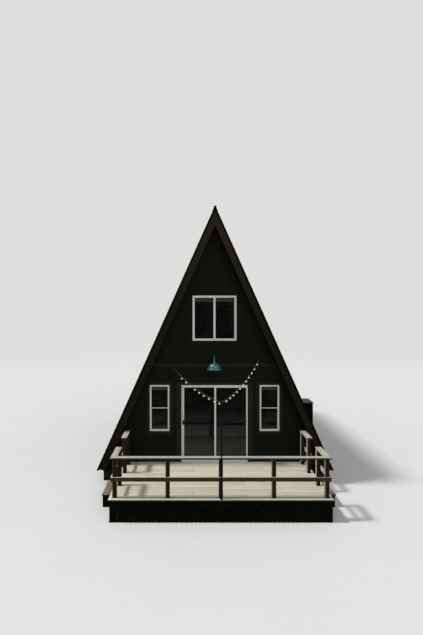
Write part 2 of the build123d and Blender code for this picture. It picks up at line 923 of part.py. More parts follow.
def corner_radii(route):
    """Radius of the arc at each inner point of a route, as large as its two runs allow."""
    radii = []
    for before, here, after in zip(route, route[1:], route[2:]):
        run_in = Vector(*here) - Vector(*before)
        run_out = Vector(*after) - Vector(*here)
        turn = run_in.get_angle(run_out)
        radii.append(bend_share * min(run_in.length, run_out.length) / tan(radians(turn / 2)))
    return radii


def cable(route):
    """Add a round cable along straight runs that are joined by tangent arcs."""
    with BuildLine() as path:
        FilletPolyline(*route, radius=corner_radii(route))
    with BuildSketch(Plane(origin=path.line @ 0, z_dir=path.line % 0)) as section:
        Circle(cable_radius)
    sweep(section.sketch, path=path.line)


with BuildPart() as string_cable_left:
    cable(left_route)

with BuildPart() as string_cable_right:
    cable(right_route)

# A bulb hangs from every second run of each cable; the left cable starts with a bare stretch
left_bulb_runs = range(5, len(left_route), 2)
right_bulb_runs = range(2, len(right_route) - 1, 2)


def bulb(top):
    """Add a socket that hangs from the cable at this point, with its round bulb."""
    reach = sqrt(bulb_radius**2 - bulb_collar_radius**2)
    middle = top.Z - bulb_neck_height - bulb_socket_height - reach
    with BuildSketch(Plane.XZ.offset(-top.Y)) as outline:
        with BuildLine():
            foot = (top.X, middle - bulb_radius)
            collar = (top.X + bulb_collar_radius, middle + reach)
            ThreePointArc(foot, (top.X + bulb_radius, middle), collar)
            Polyline(
                collar,
                (top.X + bulb_socket_radius, top.Z - bulb_neck_height),
                (top.X + bulb_neck_radius, top.Z),
                (top.X, top.Z),
                foot,
            )
        make_face()
    revolve(outline.sketch, axis=Axis((top.X, top.Y, 0), (0, 0, 1)))


with BuildPart() as string_bulbs:
    for route, runs in ((left_route, left_bulb_runs), (right_route, right_bulb_runs)):
        for run in runs:
            start = Vector(*route[run - 1])
            end = Vector(*route[run])
            bulb((start + end) * 0.5)

# Cupboard that stands on the ground and leans on the right roof slope
cupboard_right = half_width(eave_height, 0) + cupboard_past_eave
body_top = cupboard_height - cupboard_cap_t
cupboard_y = (cupboard_front, cupboard_front + cupboard_depth)

with BuildPart() as side_cupboard:
    slab(
        [
            (half_width(eave_height, 0), 0),
            (cupboard_right, 0),
            (cupboard_right, body_top),
            (half_width(body_top, 0), body_top),
            (half_width(eave_height, 0), eave_height),
        ],
        cupboard_y,
    )

with BuildPart() as side_cupboard_cap:
    slab(
        [
            (half_width(body_top, 0), body_top),
            (cupboard_right + cupboard_cap_overhang, body_top),
            (cupboard_right + cupboard_cap_overhang, cupboard_height),
            (half_width(cupboard_height, 0), cupboard_height),
        ],
        grown(cupboard_y, cupboard_cap_overhang),
    )

# Each piece in its own file, under its own name
pieces = {
    "foundation_ends": foundation_ends,
    "foundation_sides": foundation_sides,
    "floor_rims": floor_rims,
    "floor_joists": floor_joists,
    "cabin_floor": cabin_floor,
    "loft_beams": loft_beams,
    "loft_floor": loft_floor,
    "front_wall_left": front_wall_left,
    "front_wall_right": front_wall_right,
    "front_wall_header": front_wall_header,
    "front_gable": front_gable,
    "back_wall": back_wall,
    "back_gable": back_gable,
    "wall_bands": wall_bands,
    "front_casings": front_casings,
    "back_casings": back_casings,
    "roof_left": roof_left,
    "roof_right": roof_right,
    "roof_cover_left": roof_cover_left,
    "roof_cover_right": roof_cover_right,
    "ridge_cap": ridge_cap,
    "front_rakes": front_rakes,
    "back_rakes": back_rakes,
    "upper_window_frame": upper_window_frame,
    "side_window_frames": side_window_frames,
    "front_window_glass": front_window_glass,
    "back_window_frames": back_window_frames,
    "back_window_glass": back_window_glass,
    "door_frame": door_frame,
    "door_fixed_panel": door_fixed_panel,
    "door_fixed_glass": door_fixed_glass,
    "door_sliding_panel": door_sliding_panel,
    "door_sliding_glass": door_sliding_glass,
    "door_handle": door_handle,
    "deck_boards": deck_boards,
    "deck_rims": deck_rims,
    "deck_joists": deck_joists,
    "deck_posts": deck_posts,
    "front_lattice": front_lattice,
    "side_lattices": side_lattices,
    "front_rail_posts": front_rail_posts,
    "side_rail_posts": side_rail_posts,
    "front_rail_cap": front_rail_cap,
    "side_rail_caps": side_rail_caps,
    "front_mid_rail": front_mid_rail,
    "side_mid_rails": side_mid_rails,
    "step_treads": step_treads,
    "step_boxes": step_boxes,
    "lamp_arm": lamp_arm,
    "lamp_shade": lamp_shade,
    "lamp_bulb": lamp_bulb,
    "light_pole": light_pole,
    "wall_hooks": wall_hooks,
    "string_cable_left": string_cable_left,
    "string_cable_right": string_cable_right,
    "string_bulbs": string_bulbs,
    "side_cupboard": side_cupboard,
    "side_cupboard_cap": side_cupboard_cap,
}

os.makedirs("parts", exist_ok=True)
for label, piece in pieces.items():
    piece.part.label = label
    export_step(piece.part, f"parts/{label}.step")

for side_name, route in (("left", left_route), ("right", right_route)):
    print(side_name, "cable radii", [round(radius) for radius in corner_radii(route)])
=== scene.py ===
"""Dresses the a-frame cabin: boards, shingles, glazing, blinds, lamp, string lights and finishes.

Lengths are metres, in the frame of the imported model: X across, Y from front to back, Z up.
"""

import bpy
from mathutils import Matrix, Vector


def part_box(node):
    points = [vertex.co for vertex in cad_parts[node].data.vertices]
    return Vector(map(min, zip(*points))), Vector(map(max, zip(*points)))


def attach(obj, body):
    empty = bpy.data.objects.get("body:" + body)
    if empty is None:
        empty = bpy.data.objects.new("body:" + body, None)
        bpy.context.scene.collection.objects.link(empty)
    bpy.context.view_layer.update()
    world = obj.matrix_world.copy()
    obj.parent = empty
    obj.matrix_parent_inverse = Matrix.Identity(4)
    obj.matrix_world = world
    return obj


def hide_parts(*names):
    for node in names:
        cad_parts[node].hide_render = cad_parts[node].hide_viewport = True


bl_info = {
    "name": "A-Frame Cabin",
    "version": (1, 0, 0),
    "blender": (4, 5, 0),
    "location": "View3D > Sidebar > Cabin",
    "description": "Adds the boards, shingles, glazing, lamp and string lights of an a-frame cabin",
    "category": "Object",
}

import math
import random

import bmesh
import bpy
from mathutils import Matrix, Vector

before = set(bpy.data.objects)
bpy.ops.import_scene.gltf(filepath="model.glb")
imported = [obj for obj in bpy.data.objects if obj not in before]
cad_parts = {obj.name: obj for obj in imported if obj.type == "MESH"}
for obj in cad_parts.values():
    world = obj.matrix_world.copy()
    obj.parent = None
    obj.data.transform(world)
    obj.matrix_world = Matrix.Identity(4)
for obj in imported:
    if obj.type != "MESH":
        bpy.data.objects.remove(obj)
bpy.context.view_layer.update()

# The roof's form, read from the covering and the gables
cover_low, cover_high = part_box("roof_cover_left")
ridge_z = cover_high.z
eave_z = cover_low.z
half_angle = math.atan(-cover_low.x / (ridge_z - eave_z))
slope_length = (ridge_z - eave_z) / math.cos(half_angle)
gable_low, gable_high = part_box("front_gable")
front_face, room_front = gable_low.y, gable_high.y
room_back, back_face = (corner.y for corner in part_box("back_gable"))


def length(name, description, default, least):
    """A length that a user may change."""
    return bpy.props.FloatProperty(
        name=name, description=description, default=default, min=least, unit="LENGTH",
    )


class CabinSizes(bpy.types.PropertyGroup):
    """Sizes of the boards, shingles and other detail that a user may change."""

    groove_pitch: length("Groove pitch", "From one groove of the siding to the next", 0.203, 0.05)
    groove_width: length("Groove width", "Width of each groove of the siding", 0.010, 0.002)
    siding_relief: length("Siding relief", "How far the boards stand out", 0.008, 0.001)
    shingle_exposure: length("Shingle exposure", "Part of each course that shows", 0.143, 0.05)
    shingle_width: length("Shingle tab width", "Usual width of one shingle tab", 0.30, 0.1)
    deck_board_width: length("Deck board width", "Width of one deck board", 0.140, 0.05)
    deck_board_gap: length("Deck board gap", "Gap between two deck boards", 0.006, 0.001)
    blind_drop: length("Blind drop", "Drop of a folded blind from the glass top", 0.105, 0.02)
    cable_diameter: length("Cable diameter", "Thickness of the string lights' cable", 0.009, 0.002)


def colour(name, description, default):
    """A colour that a user may change."""
    return bpy.props.FloatVectorProperty(
        name=name, description=description, default=default, size=3,
        min=0.0, max=1.0, subtype="COLOR",
    )


class CabinColours(bpy.types.PropertyGroup):
    """Colours of the finishes."""

    siding: colour("Siding", "Near-black paint of the grooved panels", (0.0048, 0.0062, 0.0036))
    trim: colour("Trim", "Paint of the casings and bands", (0.0110, 0.0135, 0.0090))
    rake: colour("Rake boards", "Dark brown stain of the rake boards", (0.0108, 0.0103, 0.0062))
    rake_peak: colour("Rake peak", "Faded stain of rakes near the ridge", (0.0240, 0.0178, 0.0135))
    shingle: colour("Shingles", "Charcoal of the shingles", (0.021, 0.021, 0.022))
    frames: colour("Window frames", "White of the window and door frames", (0.56, 0.56, 0.54))
    deck: colour("Deck boards", "Weathered grey of the deck boards", (0.655, 0.598, 0.500))
    deck_edge: colour("Deck edges", "Dark edges of the deck boards", (0.040, 0.037, 0.029))
    tread: colour("Treads", "Worn brown-grey of the step treads", (0.240, 0.195, 0.138))
    # The rails' dark stain is partly their own colour and partly painted shade on their sides; the
    # pale colour below is partly sun-bleaching and partly painted sunlight on tops and left faces.
    rail: colour("Rail timber", "Dark brown stain of the rails", (0.038, 0.0305, 0.0175))
    post: colour("Post timber", "Darker brown stain of the rail posts", (0.0172, 0.0124, 0.0066))
    bleached_and_sunlit: colour("Bleached timber", "Sun-bleached faces of the rails", (0.475, 0.452, 0.410))
    lattice: colour("Lattice", "Near-black stain of the lattice", (0.0026, 0.0029, 0.0014))
    cupboard: colour("Cupboard", "Near-black paint of the cupboard", (0.0022, 0.0026, 0.0010))
    enamel: colour("Lamp enamel", "Teal enamel of the barn lamp", (0.014, 0.094, 0.100))
    lining: colour("Lining", "Stained boards inside the cabin", (0.026, 0.018, 0.011))
    lumber: colour("Lumber", "Sawn framing timber", (0.40, 0.27, 0.15))
    # Near black: partly a dark stain, and partly painted shade on the timber under the deck and the
    # floor.
    underframe: colour("Underframe", "Dark stain of timber below deck", (0.0050, 0.0050, 0.0034))
    block: colour("Block", "Dark-painted foundation block", (0.0130, 0.0125, 0.0105))
    blind: colour("Blinds", "Pale folded blinds", (0.92, 0.92, 0.88))
    # Near black: a dark sheet over the loft window that paints the shade inside.
    drawn_blind: colour("Drawn blind", "Dark cloth of the drawn blind", (0.030, 0.030, 0.027))
    cap: colour("Cupboard cap", "Grey cap of the cupboard", (0.140, 0.126, 0.110))


def sizes():
    """The sizes that this scene uses."""
    return bpy.context.scene.cabin_sizes


def colours():
    """The colours that this scene uses."""
    return bpy.context.scene.cabin_colours


def add_node(tree, kind, inputs=(), **settings):
    """Add a node, with its settings, and its inputs as values or as sockets to link."""
    node = tree.nodes.new(kind)
    for name, value in settings.items():
        setattr(node, name, value)
    for name, value in dict(inputs).items():
        if isinstance(value, bpy.types.NodeSocket):
            tree.links.new(value, node.inputs[name])
        else:
            node.inputs[name].default_value = value
    return node


# Most of a soft noise lies between these values
noise_range = (0.3, 0.7)


class Finish:
    """A procedural material under construction, on object coordinates."""

    def __init__(self, name, **values):
        self.material = bpy.data.materials.new(name)
        self.material.use_nodes = True
        self.tree = self.material.node_tree
        self.shader = self.tree.nodes["Principled BSDF"]
        for socket, value in values.items():
            self.shader.inputs[socket.replace("_", " ")].default_value = value
        self.place = self.add("ShaderNodeTexCoord").outputs["Object"]

    def add(self, kind, inputs=(), **settings):
        """Add a node to this material."""
        return add_node(self.tree, kind, inputs, **settings)

    def axes(self, vector=None):
        """The three parts of a vector, or of the place on the piece."""
        vector = self.place if vector is None else vector
        return self.add("ShaderNodeSeparateXYZ", {0: vector}).outputs

    def scaled(self, scale):
        """The place on the piece, stretched by these three factors."""
        inputs = {"Vector": self.place, "Scale": scale}
        return self.add("ShaderNodeMapping", inputs).outputs["Vector"]

    def noise(self, scale, detail=4.0, roughness=0.55, place=None):
        """A soft random value from 0 to 1."""
        place = self.place if place is None else place
        inputs = {"Vector": place, "Scale": scale, "Detail": detail, "Roughness": roughness}
        return self.add("ShaderNodeTexNoise", inputs).outputs["Fac"]

    def grain(self, axis, along, across, scale, detail, roughness=0.55):
        """Noise that is stretched along one axis."""
        factors = [along if index == axis else across for index in range(3)]
        return self.noise(scale, detail, roughness, self.scaled(factors))

    def math(self, operation, first, second=0.0):
        """The result of one sum."""
        return self.add("ShaderNodeMath", {0: first, 1: second}, operation=operation).outputs[0]

    def span(self, value, low, high, to_low=0.0, to_high=1.0):
        """A value carried from one range to another and kept inside it."""
        inputs = {0: value, 1: low, 2: high, 3: to_low, 4: to_high}
        return self.add("ShaderNodeMapRange", inputs).outputs[0]

    def mix(self, share, first, second, blend="MIX"):
        """A blend of two colours."""
        inputs = {0: share}
        for socket, shade in ((6, first), (7, second)):
            inputs[socket] = shade if isinstance(shade, bpy.types.NodeSocket) else (*shade, 1.0)
        return self.add("ShaderNodeMix", inputs, data_type="RGBA", blend_type=blend).outputs[2]

    def mix_shaders(self, share, first, second):
        """A blend of two shaders."""
        inputs = {0: share, 1: first.outputs[0], 2: second.outputs[0]}
        return self.add("ShaderNodeMixShader", inputs)

    def tinted(self, base, *tints):
        """A colour made darker or lighter by each value: (value, factor at 0, factor at 1)."""
        for value, low, high in tints:
            base = base if isinstance(base, bpy.types.NodeSocket) else tuple(base)
            inputs = {0: base, "Scale": self.span(value, 0.0, 1.0, low, high)}
            base = self.add("ShaderNodeVectorMath", inputs, operation="SCALE").outputs[0]
        return base

    def indoors(self, reach=0.0):
        """One in the room, and as far as this into its end walls, and nought elsewhere."""
        depth = self.axes()["Y"]
        past_front = self.math("GREATER_THAN", depth, room_front - reach)
        return self.math("MULTIPLY", past_front, self.math("LESS_THAN", depth, room_back + reach))

    def bump(self, height, distance, strength=1.0):
        """Tilt the surface by this height."""
        inputs = {"Height": height, "Distance": distance, "Strength": strength}
        normal = self.shader.inputs["Normal"]
        if normal.is_linked:
            inputs["Normal"] = normal.links[0].from_socket
        self.tree.links.new(self.add("ShaderNodeBump", inputs).outputs["Normal"], normal)

    def paint(self, shade, value=None, low=0.5, high=0.5):
        """Link the colour and, where a noise is given, the roughness that goes with it."""
        self.tree.links.new(shade, self.shader.inputs["Base Color"])
        if value is not None:
            roughness = self.span(value, *noise_range, low, high)
            self.tree.links.new(roughness, self.shader.inputs["Roughness"])
        return self.material

    def show(self, shader):
        """Show this shader in place of the principled one."""
        self.tree.links.new(shader.outputs[0], self.tree.nodes["Material Output"].inputs["Surface"])
        return self.material


def painted_wood(name, base, axis, gloss=0.07):
    """Flat paint over wood whose grain runs along an axis."""
    finish = Finish(name, Specular_IOR_Level=gloss)
    lines, cloud = finish.grain(axis, 1.5, 60.0, 2.0, 5.0), finish.noise(1.3, 3.0)
    finish.bump(lines, 0.0006)
    shade = finish.tinted(base, (cloud, 0.75, 1.25), (lines, 0.85, 1.15))
    return finish.paint(shade, cloud, 0.72, 0.88)


def walled(name, base, axis):
    """Siding paint outside, and stained boards on the face that looks into the cabin."""
    finish = Finish(name, Specular_IOR_Level=0.07)
    lines, cloud = finish.grain(axis, 1.5, 60.0, 2.0, 5.0), finish.noise(1.3, 3.0)
    outside = finish.tinted(base, (cloud, 0.75, 1.25), (lines, 0.85, 1.15))
    inside = finish.tinted(colours().lining, (cloud, 0.8, 1.2), (lines, 0.6, 1.4))
    finish.bump(lines, 0.0008)
    return finish.paint(finish.mix(finish.indoors(0.004), outside, inside), cloud, 0.75, 0.88)


def weathered(name, base, axis, top=None, contrast=0.3, island=0.25, paint_left_sunlit=False, peak=None):
    """Timber with grain along an axis; its upward faces, and when asked its left faces, take a
    paler top colour.

    Boards with a peak colour lean with the roof's slopes and fade to it near the ridge.
    """
    finish = Finish(name, Specular_IOR_Level=0.03)
    if peak is not None:
        parts = finish.axes()
        base = finish.mix(finish.span(parts["Z"], 4.4, 6.6), base, peak)
        aside = finish.math("ABSOLUTE", parts["X"])
        folded = finish.add("ShaderNodeCombineXYZ", {0: aside, 1: parts["Y"], 2: parts["Z"]})
        turn = {"Vector": folded.outputs[0], "Angle": half_angle, "Axis": (0.0, 1.0, 0.0)}
        finish.place = finish.add("ShaderNodeVectorRotate", turn).outputs[0]
    fine = finish.grain(axis, 2.0, 90.0, 2.0, 6.0, 0.62)
    broad = finish.grain(axis, 0.7, 9.0, 2.2, 4.0)
    geometry = finish.add("ShaderNodeNewGeometry").outputs
    marks = [
        (broad, 1.0 - contrast, 1.0 + contrast), (fine, 1.0 - contrast, 1.0 + contrast),
        (geometry["Random Per Island"], 1.0 - island / 2, 1.0 + island / 2),
    ]
    shade = finish.tinted(base, *marks)
    # On the rails the paler top colour is partly sun-bleaching and partly painted sunlight, and
    # their dark sides are partly painted shade.
    if top is not None:
        normal = finish.axes(geometry["Normal"])
        bleach_and_light_facing = normal["Z"]
        # Faces towards -X are paled too: painted sunlight from the left.
        if paint_left_sunlit:
            painted_left_light = finish.math("MULTIPLY", normal["X"], -1.0)
            bleach_and_light_facing = finish.math("MAXIMUM", bleach_and_light_facing, painted_left_light)
        wear_and_light = finish.math("ADD", bleach_and_light_facing, finish.span(broad, *noise_range, -0.12, 0.12))
        shade = finish.mix(finish.span(wear_and_light, 0.45, 0.75), shade, finish.tinted(top, *marks))
    finish.bump(finish.span(fine, 0.30, 0.44), 0.0008, 0.6)
    return finish.paint(shade, fine, 0.9, 0.72)


def shingled():
    """Mineral granules on shingles, with each tab a little different."""
    finish = Finish("shingle_granules", Roughness=0.93, Specular_IOR_Level=0.08)
    each = finish.add("ShaderNodeNewGeometry").outputs["Random Per Island"]
    grains = finish.add("ShaderNodeTexVoronoi", {"Vector": finish.place, "Scale": 260.0})
    speck = finish.span(grains.outputs["Distance"], 0.0, 0.7)
    streak = finish.noise(1.6, 3.0, place=finish.scaled((1.0, 1.2, 0.25)))
    finish.bump(speck, 0.0012, 0.8)
    tints = (each, 0.65, 1.5), (speck, 1.5, 0.6), (streak, 0.75, 1.3)
    return finish.paint(finish.tinted(colours().shingle, *tints))


def vinyl():
    """White vinyl with a trace of dirt."""
    finish = Finish("white_vinyl", Specular_IOR_Level=0.45)
    dirt = finish.noise(2.6, 5.0, 0.6, finish.scaled((3.0, 3.0, 1.2)))
    share = finish.span(dirt, 0.55, 0.85, 0.0, 0.30)
    shade = finish.mix(share, colours().frames, (0.42, 0.40, 0.35))
    finish.bump(finish.noise(140.0, 2.0), 0.0002, 0.4)
    return finish.paint(shade, dirt, 0.32, 0.48)


def glazing():
    """Thin tinted glass with dust, gloss at the edge of sight and a painted reflection that grows
    stronger low down.
    """
    finish = Finish("window_glass")
    smear = finish.noise(2.4, place=finish.scaled((1.0, 1.0, 0.5)))
    clear = finish.add("ShaderNodeBsdfTransparent", {"Color": (0.52, 0.53, 0.50, 1.0)})
    dust = finish.add("ShaderNodeBsdfDiffuse", {"Color": (0.17, 0.20, 0.16, 1.0)})
    dusty = finish.mix_shaders(finish.span(smear, 0.35, 0.75, 0.017, 0.046), clear, dust)
    blur = finish.span(smear, 0.35, 0.8, 0.015, 0.10)
    sheen = {"Color": (0.80, 0.90, 0.80, 1.0), "Roughness": blur}
    gloss = finish.add("ShaderNodeBsdfGlossy", sheen)
    facing = finish.add("ShaderNodeFresnel", {"IOR": 1.45}).outputs[0]
    # Painted reflection: the glass reflects more strongly low down, as where it mirrors the deck.
    painted_low_reflection = finish.span(finish.axes()["Z"], 0.7, 1.9, 0.036, 0.0)
    fresnel_and_painted_gloss = finish.math("MAXIMUM", finish.span(facing, 0.06, 1.0), painted_low_reflection)
    return finish.show(finish.mix_shaders(fresnel_and_painted_gloss, dusty, gloss))


def enamelled():
    """Teal enamel with a soft ripple and a few dark chips."""
    finish = Finish("teal_enamel", Roughness=0.22, Coat_Weight=0.5, Coat_Roughness=0.06)
    chips = finish.span(finish.noise(46.0, 5.0, 0.7), 0.70, 0.74)
    shade = finish.tinted(colours().enamel, (finish.noise(9.0), 0.8, 1.2))
    finish.bump(finish.noise(70.0, 2.0), 0.0003, 0.5)
    return finish.paint(finish.mix(chips, shade, (0.008, 0.030, 0.032)))


def white_enamel():
    """White enamel inside the lamp's shade."""
    finish = Finish("white_enamel", Roughness=0.3)
    return finish.paint(finish.tinted((0.70, 0.69, 0.65), (finish.noise(12.0, 3.0), 0.9, 1.05)))


def black_metal(name, base, gloss):
    """Black metal with a dull coating."""
    finish = Finish(name, Specular_IOR_Level=gloss)
    cloud = finish.noise(18.0)
    finish.bump(finish.noise(240.0, 2.0), 0.0002, 0.5)
    return finish.paint(finish.tinted(base, (cloud, 0.7, 1.4)), cloud, 0.5, 0.65)


def opal(name, base):
    """Opal glass of a bulb, with a faint glow that is painted light brightening the globe."""
    finish = Finish(name, Roughness=0.12, Specular_IOR_Level=0.6, Emission_Strength=0.15)
    cloud = finish.noise(40.0, 3.0)
    # The faint glow is painted light that brightens the globes.
    glow = finish.tinted(base, (cloud, 0.94, 1.04))
    finish.tree.links.new(glow, finish.shader.inputs["Emission Color"])
    return finish.paint(finish.tinted(base, (cloud, 0.92, 1.06)))


def cable_rubber():
    """Dusty rubber of a cable."""
    finish = Finish("cable_rubber")
    dust = finish.noise(60.0)
    finish.bump(dust, 0.0004, 0.5)
    shade = finish.mix(finish.span(dust, 0.4, 0.75), (0.075, 0.072, 0.060), (0.150, 0.145, 0.120))
    return finish.paint(shade, dust, 0.55, 0.75)


def gasket_rubber():
    """Black rubber round the panes."""
    finish = Finish("gasket_rubber", Specular_IOR_Level=0.3)
    dust = finish.noise(30.0, 3.0)
    finish.bump(dust, 0.0002, 0.4)
    return finish.paint(finish.tinted((0.008, 0.008, 0.008), (dust, 0.7, 1.4)), dust, 0.6, 0.8)


def blockwork(name, run_axis):
    """Painted concrete block in courses that run along an axis."""
    finish = Finish(name, Specular_IOR_Level=0.04)
    place = finish.axes()
    face = finish.add("ShaderNodeCombineXYZ", {0: place[run_axis], 1: place["Z"]}).outputs[0]
    courses = finish.add("ShaderNodeTexBrick", {
        "Vector": face, "Scale": 1.0, "Mortar Size": 0.006, "Mortar Smooth": 0.2,
        "Brick Width": 0.40, "Row Height": 0.20, "Color1": (0.9, 0.9, 0.9, 1.0),
        "Color2": (1.1, 1.1, 1.1, 1.0), "Mortar": (0.7, 0.7, 0.7, 1.0),
    }).outputs
    rough = finish.noise(34.0, 6.0, 0.65)
    shade = finish.mix(1.0, colours().block, courses["Color"], "MULTIPLY")
    finish.bump(finish.math("MULTIPLY", courses["Fac"], -1.0), 0.006)
    finish.bump(rough, 0.002, 0.7)
    return finish.paint(finish.tinted(shade, (rough, 0.7, 1.3)), rough, 0.85, 0.95)


def boarded(name, base, axis, across, width, outside=None):
    """Boards along one axis with a joint at every width across another; dark outside the room."""
    finish = Finish(name, Specular_IOR_Level=0.03)
    count = finish.math("DIVIDE", finish.axes()[across], width)
    within = finish.math("FRACT", finish.math("ADD", count, 1000.0))
    joint = finish.math("ABSOLUTE", finish.math("SUBTRACT", within, 0.5))
    joint = finish.span(joint, 0.470, 0.492)
    index = {"W": finish.math("FLOOR", count)}
    board = finish.add("ShaderNodeTexWhiteNoise", index, noise_dimensions="1D")
    lines = finish.grain(axis, 1.2, 40.0, 2.0, 5.0)
    shade = finish.tinted(base, (board.outputs[0], 0.75, 1.25), (lines, 0.7, 1.3))
    if outside is not None:
        shade = finish.mix(finish.indoors(), finish.tinted(outside, (lines, 0.3, 0.6)), shade)
    finish.bump(finish.math("MULTIPLY", joint, -1.0), 0.004)
    finish.bump(lines, 0.0006, 0.6)
    return finish.paint(finish.tinted(shade, (joint, 1.0, 0.25)), lines, 0.5, 0.7)


def folded_cloth(name, base):
    """Pleated cloth of a blind."""
    finish = Finish(name, Roughness=0.85, Specular_IOR_Level=0.15, Sheen_Weight=0.2)
    weave = finish.noise(320.0, 2.0, place=finish.scaled((1.0, 1.0, 4.0)))
    finish.bump(weave, 0.0003, 0.6)
    cloud = finish.noise(6.0, 3.0)
    return finish.paint(finish.tinted(base, (cloud, 0.88, 1.1), (weave, 0.92, 1.08)))


def sheet_cap():
    """Grey sheet cap of the cupboard, streaked by rain, with dark edges."""
    finish = Finish("sheet_cap", Specular_IOR_Level=0.12)
    streak = finish.noise(2.0, 5.0, place=finish.scaled((6.0, 6.0, 1.0)))
    finish.bump(finish.noise(30.0), 0.001, 0.5)
    up = finish.axes(finish.add("ShaderNodeNewGeometry").outputs["Normal"])["Z"]
    top = finish.tinted(colours().cap, (streak, 0.75, 1.2))
    shade = finish.mix(finish.span(up, 0.4, 0.8), colours().trim, top)
    return finish.paint(shade, streak, 0.55, 0.75)


# Finishes made so far
made = {}


def finish_named(name):
    """Make each finish once, when a piece first asks for it."""
    palette = colours()
    # Rails and posts turn pale on top and on their left faces: partly sun-bleaching, partly painted
    # sunlight.
    rail_wear_and_light = (palette.bleached_and_sunlit, 0.3, 0.25, True)
    # Each row is a maker and its values; a grain's axis is 0 for X, 1 for Y and 2 for Z
    makers = {
        "siding": (walled, "siding_paint", palette.siding, 2),
        "trim": (painted_wood, "trim_paint", palette.trim, 0),
        "cupboard": (painted_wood, "cupboard_paint", palette.cupboard, 2, 0.02),
        "lattice": (painted_wood, "lattice_stain", palette.lattice, 2, 0.02),
        "rake": (
            weathered, "rake_stain", palette.rake, 2, None, 0.22, 0.1, False, palette.rake_peak,
        ),
        "deck": (weathered, "deck_timber", palette.deck_edge, 0, palette.deck, 0.16, 0.16),
        "tread": (weathered, "tread_timber", palette.deck_edge, 1, palette.tread, 0.2, 0.2),
        "rail_x": (weathered, "rail_timber_across", palette.rail, 0, *rail_wear_and_light),
        "rail_y": (weathered, "rail_timber_deep", palette.rail, 1, *rail_wear_and_light),
        "post": (weathered, "post_timber", palette.post, 2, *rail_wear_and_light),
        "lumber_x": (weathered, "lumber_across", palette.lumber, 0, None, 0.25, 0.25),
        "under_x": (weathered, "underframe_across", palette.underframe, 0),
        "under_y": (weathered, "underframe_deep", palette.underframe, 1),
        "under_z": (weathered, "underframe_upright", palette.underframe, 2),
        "shingle": (shingled,),
        "vinyl": (vinyl,),
        "glass": (glazing,),
        "enamel": (enamelled,),
        "white_enamel": (white_enamel,),
        "metal": (black_metal, "black_metal", (0.0075, 0.0070, 0.0060), 0.15),
        "pole_metal": (black_metal, "pole_metal", (0.0040, 0.0036, 0.0028), 0.03),
        # Near black: dark metal, darkened further to paint the shadow that the shingles' edge casts
        # on it.
        "edge_metal": (black_metal, "edge_metal", (0.0014, 0.0014, 0.0012), 0.02),
        "bulb": (opal, "string_bulb_glass", (0.82, 0.81, 0.76)),
        "lamp_bulb": (opal, "lamp_bulb_glass", (0.90, 0.87, 0.80)),
        "rubber": (cable_rubber,),
        "gasket": (gasket_rubber,),
        "block_x": (blockwork, "block_across", "X"),
        "block_y": (blockwork, "block_deep", "Y"),
        "floor": (boarded, "floor_boards", palette.lining, 1, "X", 0.140),
        "lining": (boarded, "lining_boards", palette.lining, 1, "Z", 0.130, palette.siding),
        "cloth": (folded_cloth, "blind_cloth", palette.blind),
        "dark_cloth": (folded_cloth, "drawn_blind_cloth", palette.drawn_blind),
        "cap": (sheet_cap,),
    }
    if name not in made:
        maker, *values = makers[name]
        made[name] = maker(*values)
    return made[name]


def centre_of(low, high):
    """The point halfway between two corners."""
    return (Vector(low) + Vector(high)) / 2


def add_block(bm, low, high):
    """Add a block between two corners and return its vertices."""
    size = Vector(high) - Vector(low)
    place = Matrix.Translation(centre_of(low, high)) @ Matrix.Diagonal((*size, 1.0))
    return bmesh.ops.create_cube(bm, size=1.0, matrix=place)["verts"]


def add_stud(bm, centre, direction, radius, height, segments=10, tip=0.6):
    """A round or many-sided head standing on a face, narrower at its tip."""
    direction = Vector(direction)
    turn = direction.to_track_quat("Z", "Y").to_matrix().to_4x4()
    place = Matrix.Translation(Vector(centre) + direction * height / 2) @ turn
    bmesh.ops.create_cone(
        bm, cap_ends=True, cap_tris=False, segments=segments, radius1=radius, radius2=radius * tip,
        depth=height, matrix=place,
    )


def add_ring(bm, low, high, width, proud=0.0012):
    """Four bars round the edge of an upright pane, a little proud of both its faces."""
    front, back = low.y - proud, high.y + proud
    add_block(bm, (low.x, front, low.z), (high.x, back, low.z + width))
    add_block(bm, (low.x, front, high.z - width), (high.x, back, high.z))
    add_block(bm, (low.x, front, low.z + width), (low.x + width, back, high.z - width))
    add_block(bm, (high.x - width, front, low.z + width), (high.x, back, high.z - width))


def spin_profile(bm, centre, profile, steps, material=0):
    """Spin a profile of (radius, height) about the upright line through a point."""
    centre = Vector(centre)
    verts = [bm.verts.new(centre + Vector((radius, 0, height))) for radius, height in profile]
    edges = [bm.edges.new(pair) for pair in zip(verts, verts[1:])]
    before = set(bm.faces)
    bmesh.ops.spin(
        bm, geom=verts + edges, cent=centre, axis=(0, 0, 1), angle=math.tau, steps=steps,
        use_merge=True, use_duplicate=False,
    )
    fresh = [face for face in bm.faces if face not in before]
    rings = list(dict.fromkeys(vert for face in fresh for vert in face.verts))
    bmesh.ops.remove_doubles(bm, verts=rings, dist=0.00005)
    fresh = [face for face in bm.faces if face not in before]
    bmesh.ops.recalc_face_normals(bm, faces=fresh)
    for face in fresh:
        face.material_index = material


def cut(bm, height, side, keep_inside=True):
    """Cut along a slope that passes over X = 0 at this height, drop one side and close the cuts."""
    outward = Vector((side * math.cos(half_angle), 0, math.sin(half_angle)))
    bmesh.ops.bisect_plane(
        bm, geom=bm.verts[:] + bm.edges[:] + bm.faces[:], dist=0.00001, plane_co=(0, 0, height),
        plane_no=outward, clear_outer=keep_inside, clear_inner=not keep_inside,
    )
    bmesh.ops.holes_fill(bm, edges=[edge for edge in bm.edges if edge.is_boundary], sides=0)
    bmesh.ops.recalc_face_normals(bm, faces=bm.faces)


